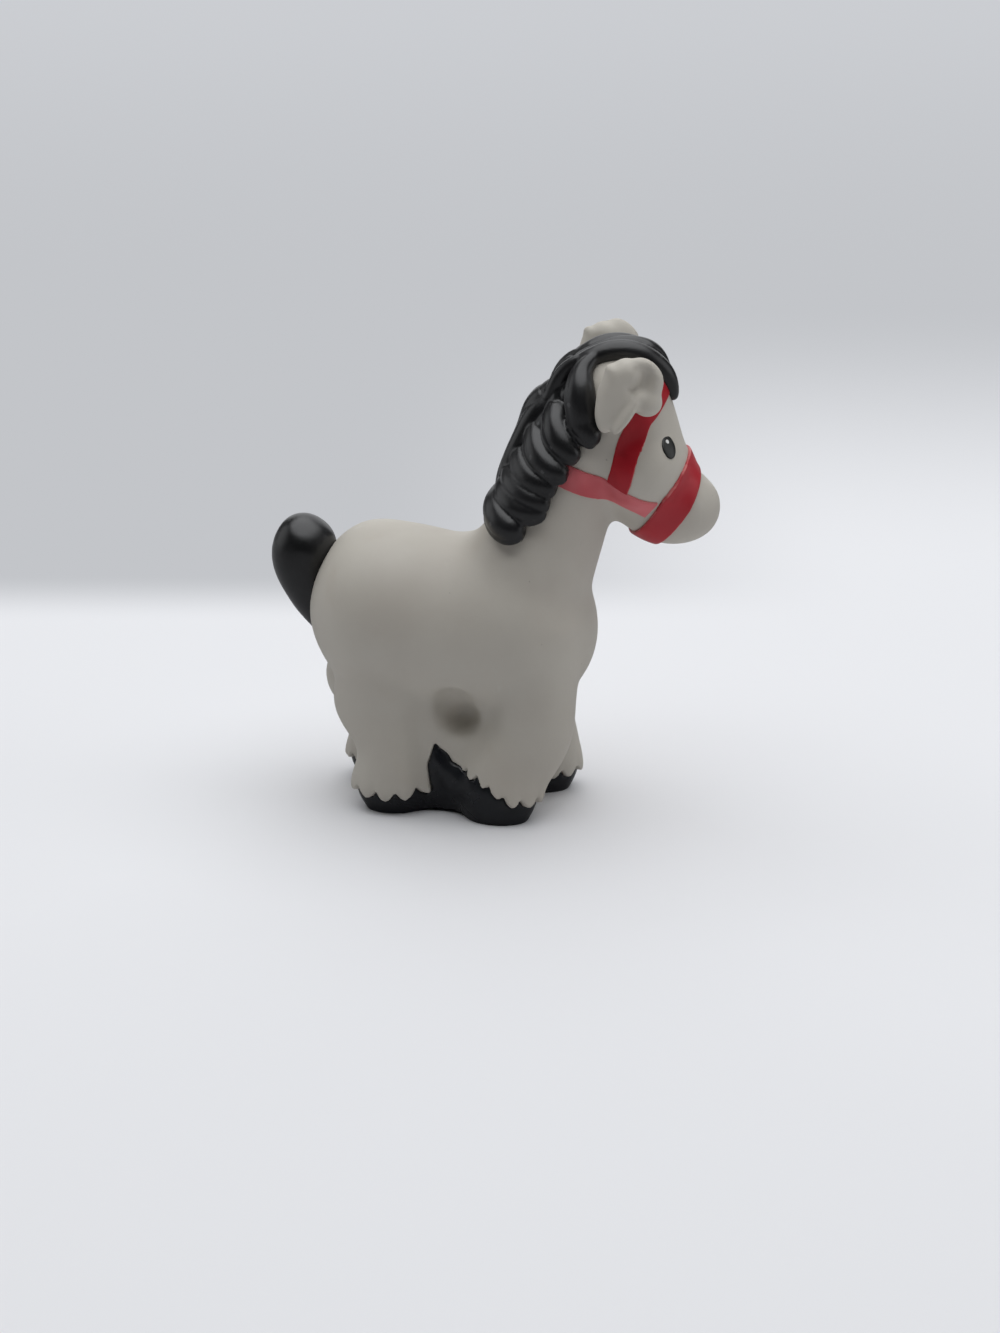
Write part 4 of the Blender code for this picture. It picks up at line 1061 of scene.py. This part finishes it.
def band(name, skin, surface, tree, path, widths, high, finish, closed, rub):
    """A band of these widths on the skin. Its path gives starts in the head and directions."""
    middles = [on_surface(surface, start, direction) for start, direction in path]
    count = len(path)
    lanes = section_lanes(STRAP_LOW, high, STRAP_ROUND)
    form = bmesh.new()
    layers = form.verts.layers
    start_layer, aim_layer = (layers.float_vector.new(word) for word in ("start", "aim"))
    lift_layer, across_layer, sheen_layer = (
        layers.float.new(word) for word in ("lift", "across", "rub")
    )
    rings = []
    for k, (start, _) in enumerate(path):
        middle, normal = middles[k]
        if closed:
            before, after = middles[k - 1][0], middles[(k + 1) % count][0]
        else:
            before, after = middles[max(k - 1, 0)][0], middles[min(k + 1, count - 1)][0]
        across = normal.cross(after - before).normalized()
        ring = []
        for place, rise in lanes:
            target = middle + across * (widths[k] * place)
            vert = form.verts.new(target)
            vert[start_layer] = start
            vert[aim_layer] = (target - start).normalized()
            vert[lift_layer] = rise
            vert[across_layer] = place
            # How much painted sheen the red finish lays on this strap
            vert[sheen_layer] = rub
            ring.append(vert)
        rings.append(ring)
    if closed:
        bridge(form, *rings, rings[0])
    else:
        bridge(form, *rings)
        form.faces.new(rings[0][::-1])
        form.faces.new(rings[-1])
    made = object_from(name, form)
    lay = made.modifiers.new("lay", "NODES")
    lay.node_group = tree
    feed(lay, skin=skin, finish=finish)
    with opened(settle(made)) as form:
        bmesh.ops.triangulate(form, faces=[face for face in form.faces if len(face.verts) > 4])
        bmesh.ops.recalc_face_normals(form, faces=form.faces)
    return made


def path_towards(core_shares, shares):
    """Starts in the middle of the head and directions to the points of a path."""
    start = in_head(*core_shares)
    return [(start, in_head(*row) - start) for row in shares]


def strap_paths():
    """Of each strap its name, CAD node, path, widths, height, if it closes and how much painted
    sheen it gets.
    """
    _, level, side = head_frame()
    across = level * math.cos(NOSEBAND_LEAN) + Z_AXIS * math.sin(NOSEBAND_LEAN)
    ahead = side.cross(across)
    middle = in_head(*NOSEBAND_MIDDLE_SHARES)
    under, beside, over = NOSEBAND_SHARES
    loop = []
    widths = []
    for step in range(NOSEBAND_STEPS):
        turn = 2 * math.pi * step / NOSEBAND_STEPS
        above = (1 - math.cos(turn)) / 2
        direction = ahead * math.cos(turn) + side * math.sin(turn)
        loop.append((middle, direction + across * (above * above * NOSEBAND_BEND)))
        share = under * (1 - above) + over * above
        share += (1 - abs(2 * above - 1)) * (beside - (under + over) / 2)
        widths.append(NOSEBAND_WIDTH * share)
    half = spline(CROWN_STRAP_SHARES, CROWN_STRAP_STEPS)
    whole = half + [(reach, climb, -side_share) for reach, climb, side_share in half[-2::-1]]
    crown = path_towards(CROWN_CORE_SHARES, whole)
    low, middle_high, high = STRAP_HIGHS
    # The last number is the strap's painted sheen: most on the jaw straps, a little on the noseband
    rows = [
        ("nose_band", "noseband", loop, widths, high, True, 0.12),
        ("crown_band", "crown_strap", crown, [CROWN_STRAP_WIDTH] * len(crown), low, False, 0.0),
    ]
    for word, shares in (("left", LEFT_JAW_STRAP_SHARES), ("right", RIGHT_JAW_STRAP_SHARES)):
        path = path_towards(STRAP_CORE_SHARES, spline(shares, JAW_STRAP_STEPS))
        name = "jaw_band_" + word
        widths = [JAW_STRAP_WIDTH] * len(path)
        rows.append((name, "jaw_strap_" + word, path, widths, middle_high, False, 1.0))
    return rows


def rail():
    """Points in the body from brow to withers, with directions to the crest and to the left."""
    _, level, left = head_frame()
    stations = []
    for angle in RAIL_BROW_ANGLES:
        turn = math.radians(angle)
        ahead = level * math.cos(turn) + Z_AXIS * math.sin(turn)
        stations.append((in_head(*BROW_SHARES), ahead, left))
    for share in RAIL_NECK_SHARES:
        stations.append((NECK_ROOT + NECK_ALONG * (NECK_LENGTH * share), NECK_CREST, Y_AXIS))
    return stations


def from_rail(surface, place, angle, rise):
    """A point above the surface, by its share along the rail and its angle to the left."""
    stations = rail()
    last = len(stations) - 1
    where = place * last
    k = min(max(int(where), 0), last - 1)
    mix = where - k
    centre, crest, left = (a + (b - a) * mix for a, b in zip(stations[k], stations[k + 1]))
    direction = crest.normalized() * math.cos(angle) + left.normalized() * math.sin(angle)
    point, _ = on_surface(surface, centre, direction)
    return point + direction * rise


def add_lock(curve, surface, path, lifts, sign, width, shares):
    """Adds one lock to the curve, as a spline over the surface with a radius at each point."""
    steps = LOCK_FINENESS * len(path)
    rows = [(place, math.radians(angle), lift) for (place, angle), lift in zip(path, lifts)]
    rows = spline(rows, steps)
    sizes = spline([(share,) for share in shares], steps)
    points = [from_rail(surface, place, sign * angle, lift) for place, angle, lift in rows]
    strands = [curve.splines.new("POLY") for _ in range(2 if shares is LOCK_SHARES else 1)]
    for strand in strands:
        strand.points.add(steps)
    for k, (point, (size,)) in enumerate(zip(points, sizes)):
        far = abs(2 * k / steps - 1)
        radius = width / 2 * size * math.sqrt(max(LOCK_END_LEAST, 1 - far**LOCK_END_POWER))
        strands[0].points[k].co = (*point, 1)
        strands[0].points[k].radius = radius
        if len(strands) > 1:
            along = (points[min(k + 1, steps)] - points[max(k - 1, 0)]).normalized()
            place, angle, _ = rows[k]
            above = (point - from_rail(surface, place, sign * angle, 0)).normalized()
            across = above.cross(along).normalized() * sign
            aside, rise, size = LIP_SHARES
            lip = point + across * (radius * aside) + above * (radius * rise)
            strands[1].points[k].co = (*lip, 1)
            strands[1].points[k].radius = radius * size


def mane_form(surface, finish):
    """The crest with its locks on both sides and the forelock under one skin."""
    curve = bpy.data.curves.new("locks", "CURVE")
    curve.dimensions = "3D"
    for sign in (-1, 1):
        for path, share, root in zip(LOCK_PATHS, LOCK_WIDTH_SHARES, LOCK_ROOT_SHARES):
            lifts = [LOCK_RISE * root, LOCK_RISE * (root + 1) / 2]
            lifts += [LOCK_RISE] * (len(path) - len(lifts))
            add_lock(curve, surface, path, lifts, sign, LOCK_WIDTH * share, LOCK_SHARES)
        for angle, rises in zip(RIDGE_ANGLES, RIDGE_RISE_SHARES):
            path = [(place, angle) for place in RIDGE_PLACES]
            lifts = [LOCK_RISE * share for share in rises]
            add_lock(curve, surface, path, lifts, sign, RIDGE_WIDTH, RIDGE_SHARES)
        lifts = [FORELOCK_RISE] * len(FORELOCK_PATH)
        add_lock(curve, surface, FORELOCK_PATH, lifts, sign, FORELOCK_WIDTH, FORELOCK_SHARES)
    crest = [(place, 0) for place in CREST_PLACE_SHARES]
    lifts = [LOCK_RISE * share for share in CREST_RISE_SHARES]
    add_lock(curve, surface, crest, lifts, 1, CREST_WIDTH, CREST_SHARES)
    locks = new_object("locks", curve)
    grow = locks.modifiers.new("grow", "NODES")
    grow.node_group = lock_tree()
    feed(grow, thickness=1.0, sides=LOCK_SIDES, finish=finish)
    graph = bpy.context.evaluated_depsgraph_get()
    mesh = bpy.data.meshes.new_from_object(locks.evaluated_get(graph))
    discard(locks)
    return wrapped(new_object("mane_hair", mesh), HAIR_VOXEL, HAIR_SPREAD)


def eye_frame(surface, sign):
    """Centre of one eye on the head, its outward direction, and its directions across and up."""
    inside = in_head(*EYE_CORE_SHARES)
    reach, climb, aside = EYE_SHARES
    centre, outward = on_surface(surface, inside, in_head(reach, climb, sign * aside) - inside)
    tilt = Matrix.Rotation(sign * EYE_TURN, 3, outward)
    across = tilt @ Z_AXIS.cross(outward).normalized()
    return centre, outward, across, outward.cross(across)


def inlay(name, place, half_width, half_height, sides, levels):
    """A closed oval plug. Each level gives its height and its share of the full breadth."""
    centre, outward, across, rise = place
    form = bmesh.new()
    rings = []
    for height, share in levels:
        ring = []
        for n in range(sides):
            turn = 2 * math.pi * n / sides
            offset = across * (half_width * math.cos(turn)) + rise * (half_height * math.sin(turn))
            ring.append(form.verts.new(centre + outward * height + offset * share))
        rings.append(ring)
    bridge(form, *rings)
    for ring, (height, _) in ((rings[0], levels[0]), (rings[-1], levels[-1])):
        pole = form.verts.new(centre + outward * height)
        for n in range(sides):
            form.faces.new((ring[n], ring[(n + 1) % sides], pole))
    return object_from(name, form)


def dome_levels(depth, dome):
    """Levels of a plug with a rounded dome on top."""
    turns = [math.pi / 2 * k / DOME_STEPS for k in range(DOME_STEPS)]
    return [(-depth, 1.0)] + [(dome * math.sin(turn), math.cos(turn)) for turn in turns]


def eyes_and_glints(surface):
    """Both eyes with their glints, by side."""
    aside, above = GLINT_OFFSET_SHARES
    made = []
    for word, sign in (("left", 1), ("right", -1)):
        place = eye_frame(surface, sign)
        centre, outward, across, rise = place
        levels = dome_levels(EYE_DEPTH, EYE_DOME)
        oval = inlay("eye_oval_" + word, place, EYE_WIDTH / 2, EYE_HEIGHT / 2, EYE_SIDES, levels)
        centre = centre + across * (sign * EYE_WIDTH * aside) + rise * (EYE_HEIGHT * above)
        levels = dome_levels(0, GLINT_DOME)
        place = (centre, outward, across, rise)
        dot = inlay("eye_dot_" + word, place, GLINT_RADIUS, GLINT_RADIUS, GLINT_SIDES, levels)
        made.append((word, oval, dot))
    return made


def material(name):
    """A Principled material by its row in PLAIN; gives it with its tree and its shader."""
    colour, roughness, gloss = PLAIN[name]
    made = bpy.data.materials.new(name)
    made.use_nodes = True
    shader = made.node_tree.nodes["Principled BSDF"]
    shader.inputs["Base Color"].default_value = (*colour, 1)
    shader.inputs["Roughness"].default_value = roughness
    shader.inputs["Specular IOR Level"].default_value = gloss
    return made, made.node_tree, shader


def noise(tree, scale, detail, stretch=(1, 1, 1)):
    """A noise over Object coordinates; scale is in waves per metre. Gives its Factor socket."""
    coords = tree.nodes.new("ShaderNodeTexCoord")
    mapping = tree.nodes.new("ShaderNodeMapping")
    mapping.inputs["Scale"].default_value = stretch
    texture = tree.nodes.new("ShaderNodeTexNoise")
    texture.inputs["Scale"].default_value = scale
    texture.inputs["Detail"].default_value = detail
    wire(coords, "Object", mapping, "Vector")
    wire(mapping, "Vector", texture, "Vector")
    return texture.outputs["Fac"]


def stepped(tree, factor, low, high, first=0.0, last=1.0):
    """A smooth step of the factor between low and high, from first to last."""
    node = tree.nodes.new("ShaderNodeMapRange")
    node.interpolation_type = "SMOOTHSTEP"
    labels = ("From Min", "From Max", "To Min", "To Max")
    for label, value in zip(labels, (low, high, first, last)):
        node.inputs[label].default_value = value
    tree.links.new(factor, node.inputs["Value"])
    return node.outputs["Result"]


def spots(tree, name, stretch=(1, 1, 1)):
    """How strongly the noise of this name shows."""
    scale, detail, *steps = SPOTS[name]
    return stepped(tree, noise(tree, scale, detail, stretch), *steps)


def mixed(tree, factor, first, second):
    """A colour mix; each side is a colour or a socket."""
    node = tree.nodes.new("ShaderNodeMix")
    node.data_type = "RGBA"
    for socket, value in ((node.inputs[6], first), (node.inputs[7], second)):
        if isinstance(value, tuple):
            socket.default_value = (*value, 1)
        else:
            tree.links.new(value, socket)
    tree.links.new(factor, node.inputs[0])
    return node.outputs[2]


def coat(tree, tones, *factors):
    """The first tone under the others, each as strong as its factor."""
    colour = tones[0]
    for factor, tone in zip(factors, tones[1:]):
        colour = mixed(tree, factor, colour, tone)
    tree.links.new(colour, tree.nodes["Principled BSDF"].inputs["Base Color"])


def grain(tree, gloss, scale, strength):
    """Lets the roughness wander with a noise, and adds a fine bump of this scale and strength."""
    shader = tree.nodes["Principled BSDF"]
    tree.links.new(spots(tree, gloss), shader.inputs["Roughness"])
    node = tree.nodes.new("ShaderNodeBump")
    node.inputs["Strength"].default_value = strength
    node.inputs["Distance"].default_value = GRAIN_DEPTH
    tree.links.new(noise(tree, scale, GRAIN_DETAIL), node.inputs["Height"])
    wire(node, "Normal", shader, "Normal")


def attribute(tree, name):
    """The value of the mesh's attribute of this name."""
    node = tree.nodes.new("ShaderNodeAttribute")
    node.attribute_name = name
    return node.outputs["Fac"]


def edges(tree, low, high):
    """How sharply the surface bends outwards, from 0 to 1."""
    geometry = tree.nodes.new("ShaderNodeNewGeometry")
    return stepped(tree, geometry.outputs["Pointiness"], low, high)


def vinyl_grey():
    """Matte warm grey vinyl, with faint blotches, handling marks and a few dark specks."""
    made, tree, _ = material("vinyl_grey")
    layers = [spots(tree, name) for name in ("blotches", "warmth", "specks")]
    coat(tree, GREY_TONES, *layers, spots(tree, "scuffs", SCUFF_STRETCH))
    grain(tree, "vinyl_gloss", 1900, 0.10)
    return made


def hair_black():
    """Satin black paint with a dusty bloom; its ridges are lighter, partly worn paint and partly a
    painted highlight.
    """
    made, tree, _ = material("hair_black")
    # The last layer lightens the ridges: partly worn paint, partly a painted highlight
    coat(tree, HAIR_TONES, spots(tree, "hair_bloom"), edges(tree, *HAIR_WEAR_AND_HIGHLIGHT_EDGES))
    grain(tree, "hair_gloss", 1500, 0.12)
    return made


def hoof_black():
    """Smoother black with a blue cast and scuffed edges."""
    made, tree, _ = material("hoof_black")
    coat(tree, HOOF_TONES, spots(tree, "hoof_bloom"), edges(tree, *HOOF_EDGES))
    grain(tree, "hoof_gloss", 1300, 0.06)
    return made


def halter_red():
    """Satin red paint, worn to pink along the straps' edges, with patches of pale painted sheen,
    strongest on the jaw straps.
    """
    made, tree, _ = material("halter_red")
    # Pale painted sheen in patches, as much as the strap's share
    pale_sheen = math_node(tree, "MULTIPLY", spots(tree, "red_rub"), attribute(tree, "rub"))
    far = math_node(tree, "ABSOLUTE", attribute(tree, "across"))
    worn = math_node(
        tree, "MULTIPLY", stepped(tree, far, *STRAP_WEAR), spots(tree, "red_wear")
    )
    coat(tree, RED_TONES, spots(tree, "red_blotches"), pale_sheen, worn)
    grain(tree, "red_gloss", 1700, 0.08)
    return made


def eye_black():
    """Dark grey paint with a faint speckle."""
    made, tree, _ = material("eye_black")
    coat(tree, EYE_TONES, spots(tree, "eye_speckle"))
    return made


def glint_white():
    made, tree, _ = material("glint_white")
    coat(tree, GLINT_TONES, spots(tree, "glint_mottle"))
    return made


def shader_mix(tree, factor, first, second):
    """A Mix Shader node from the first node's shader to the second's."""
    mix = tree.nodes.new("ShaderNodeMixShader")
    tree.links.new(factor, mix.inputs[0])
    wire(first, 0, mix, 1)
    wire(second, 0, mix, 2)
    return mix


def pale_floor():
    """Pale paper that the camera sees turn into the plain backdrop beyond the soft fold, whose
    shade is painted darker.
    """
    made, tree, shader = material("pale_floor")
    coords = tree.nodes.new("ShaderNodeTexCoord")
    turned = tree.nodes.new("ShaderNodeMapping")
    turned.inputs["Rotation"].default_value = (0, 0, -VIEW_AZIMUTH)
    split = tree.nodes.new("ShaderNodeSeparateXYZ")
    wire(coords, "Object", turned, "Vector")
    wire(turned, "Vector", split, 0)
    aside, away = split.outputs[0], split.outputs[1]
    sharp, soft = (stepped(tree, away, *distances) for distances in SWEEP_DISTANCES)
    right = stepped(tree, aside, *SWEEP_SIDES)
    soft = math_node(tree, "MULTIPLY", soft, right)
    sharp = math_node(tree, "MULTIPLY", sharp, math_node(tree, "SUBTRACT", 1.0, right))
    far = vector_node(tree, "LENGTH")
    wire(coords, "Object", far, 0)
    around = stepped(tree, far.outputs["Value"], *ROUND_DISTANCES)
    beyond = math_node(tree, "MAXIMUM", math_node(tree, "ADD", soft, sharp), around)
    shown = tree.nodes.new("ShaderNodeEmission")
    # Painted shade at the fold, lightening towards the backdrop
    colour = mixed(tree, stepped(tree, away, *FADE_DISTANCES), FOLD_SHADE_COLOUR, BACKDROP_COLOUR)
    tree.links.new(colour, shown.inputs["Color"])
    flag = tree.nodes.new("ShaderNodeEmission")
    flag.inputs["Color"].default_value = (0, 0, 0, 1)
    rays = tree.nodes.new("ShaderNodeLightPath").outputs
    flagged = math_node(tree, "MULTIPLY", rays["Is Glossy Ray"], FLAG_SHARE)
    hidden = math_node(tree, "MULTIPLY", beyond, rays["Is Camera Ray"])
    mix = shader_mix(tree, hidden, shader_mix(tree, flagged, shader, flag), shown)
    wire(mix, 0, tree.nodes["Material Output"], "Surface")
    return made


def dress(piece, finish, slot, *nodes):
    """Gives a piece its finish and hands it to the frame in place of its CAD nodes."""
    piece.data.materials.clear()
    piece.data.materials.append(finish)
    for face in piece.data.polygons:
        face.use_smooth = True
    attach(piece, "root")
    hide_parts(*nodes)


def build_horse():
    """Every piece of the horse, in its finish and handed to the frame."""
    grey, black, hoof = vinyl_grey(), hair_black(), hoof_black()
    red, dark, white = halter_red(), eye_black(), glint_white()
    core = core_form()
    surface = surface_of(core)
    whole = whole_form(core)

    base = flared(grown(whole, -HOOF_INSET))
    region = black_region(HEM_GAP)
    combine(base, region, "INTERSECT")
    discard(region)
    base.name = "hoofed_base"
    wrapped(base, SKIN_VOXEL, BASE_SPREAD)
    keep_largest(flatten_sole(base))
    dress(base, hoof, "hoof_black", "hoof_base")

    add_tufts(whole)
    tail = tail_form()
    mane = mane_form(surface, black)
    shell = grown(whole, HEM_GAP)
    combine(mane, shell, "DIFFERENCE")
    keep_largest(mane)

    body = copy_of(whole, "grey_body")
    region = black_region(0)
    root = grown(tail, HEM_GAP)
    for cutter in (region, root):
        combine(body, cutter, "DIFFERENCE")
    wrapped(body, HAIR_VOXEL, HEM_SPREAD)
    thin_out(keep_largest(body), BODY_TRIANGLES)
    dress(body, grey, "vinyl_grey", "body")
    dress(tail, black, "hair_black", "tail")
    dress(mane, black, "hair_black", "mane")
    tree = band_tree()
    for name, node, path, widths, high, closed, rub in strap_paths():
        strap = band(name, core, surface, tree, path, widths, high, red, closed, rub)
        dress(strap, red, "halter_red", node)
    for word, oval, dot in eyes_and_glints(surface):
        dress(oval, dark, "eye_black", "eye_" + word)
        dress(dot, white, "glint_white", "eye_glint_" + word)
    discard(core, whole, shell, region, root)


def light_studio():
    """Pale floor, soft lamps and a dim room whose backdrop only the camera sees."""
    sheet = bmesh.new()
    bmesh.ops.create_grid(
        sheet, x_segments=FLOOR_CELLS, y_segments=FLOOR_CELLS, size=FLOOR_HALF_SIZE
    )
    floor = object_from("pale_floor", sheet)
    floor.data.materials.append(pale_floor())
    for name, place, size, power in LAMPS:
        data = bpy.data.lights.new(name, "AREA")
        data.shape = "DISK"
        data.size = size
        data.energy = power
        data.color = LAMP_COLOUR
        lamp = new_object(name, data)
        lamp.location = place
        lamp.visible_camera = False
        aim = Vector((0, 0, AIM_HEIGHT)) - Vector(place)
        lamp.rotation_euler = aim.to_track_quat("-Z", "Y").to_euler()
    world = bpy.data.worlds.new("studio")
    bpy.context.scene.world = world
    world.use_nodes = True
    tree = world.node_tree
    room = tree.nodes["Background"]
    room.inputs["Color"].default_value = (*LAMP_COLOUR, 1)
    room.inputs["Strength"].default_value = ROOM_STRENGTH
    shown = tree.nodes.new("ShaderNodeBackground")
    shown.inputs["Color"].default_value = (*BACKDROP_COLOUR, 1)
    rays = tree.nodes.new("ShaderNodeLightPath")
    mix = shader_mix(tree, rays.outputs["Is Camera Ray"], room, shown)
    wire(mix, 0, tree.nodes["World Output"], "Surface")


def set_camera():
    """The photograph's camera, turned so that the aim falls on its pixel."""
    level = math.cos(VIEW_ELEVATION)
    back = Vector(
        (
            math.sin(VIEW_AZIMUTH) * level,
            -math.cos(VIEW_AZIMUTH) * level,
            math.sin(VIEW_ELEVATION),
        )
    )
    up = Z_AXIS - back * back.z
    up.normalize()
    right = up.cross(back)
    off_x = (AIM_PIXEL[0] - PHOTO_WIDTH / 2) / FOCAL_PIXELS
    off_y = (AIM_PIXEL[1] - PHOTO_HEIGHT / 2) / FOCAL_PIXELS
    data = bpy.data.cameras.new("photo_view")
    data.sensor_fit = "VERTICAL"
    data.sensor_height = SENSOR_HEIGHT
    data.lens = FOCAL_PIXELS / PHOTO_HEIGHT * SENSOR_HEIGHT
    data.clip_start, data.clip_end = CLIP_ENDS
    camera = new_object("photo_view", data)
    place = Vector((0, 0, AIM_HEIGHT)) + back * (FOCAL_PIXELS / PIXELS_PER_MM * MM)
    look = (-back - right * off_x + up * off_y).normalized()
    side = look.cross(up).normalized()
    turn = Matrix((side, side.cross(look), -look)).transposed()
    camera.matrix_world = Matrix.Translation(place) @ turn.to_4x4()
    bpy.context.scene.camera = camera
    bpy.context.scene.view_settings.view_transform = "Standard"


build_horse()
light_studio()
set_camera()
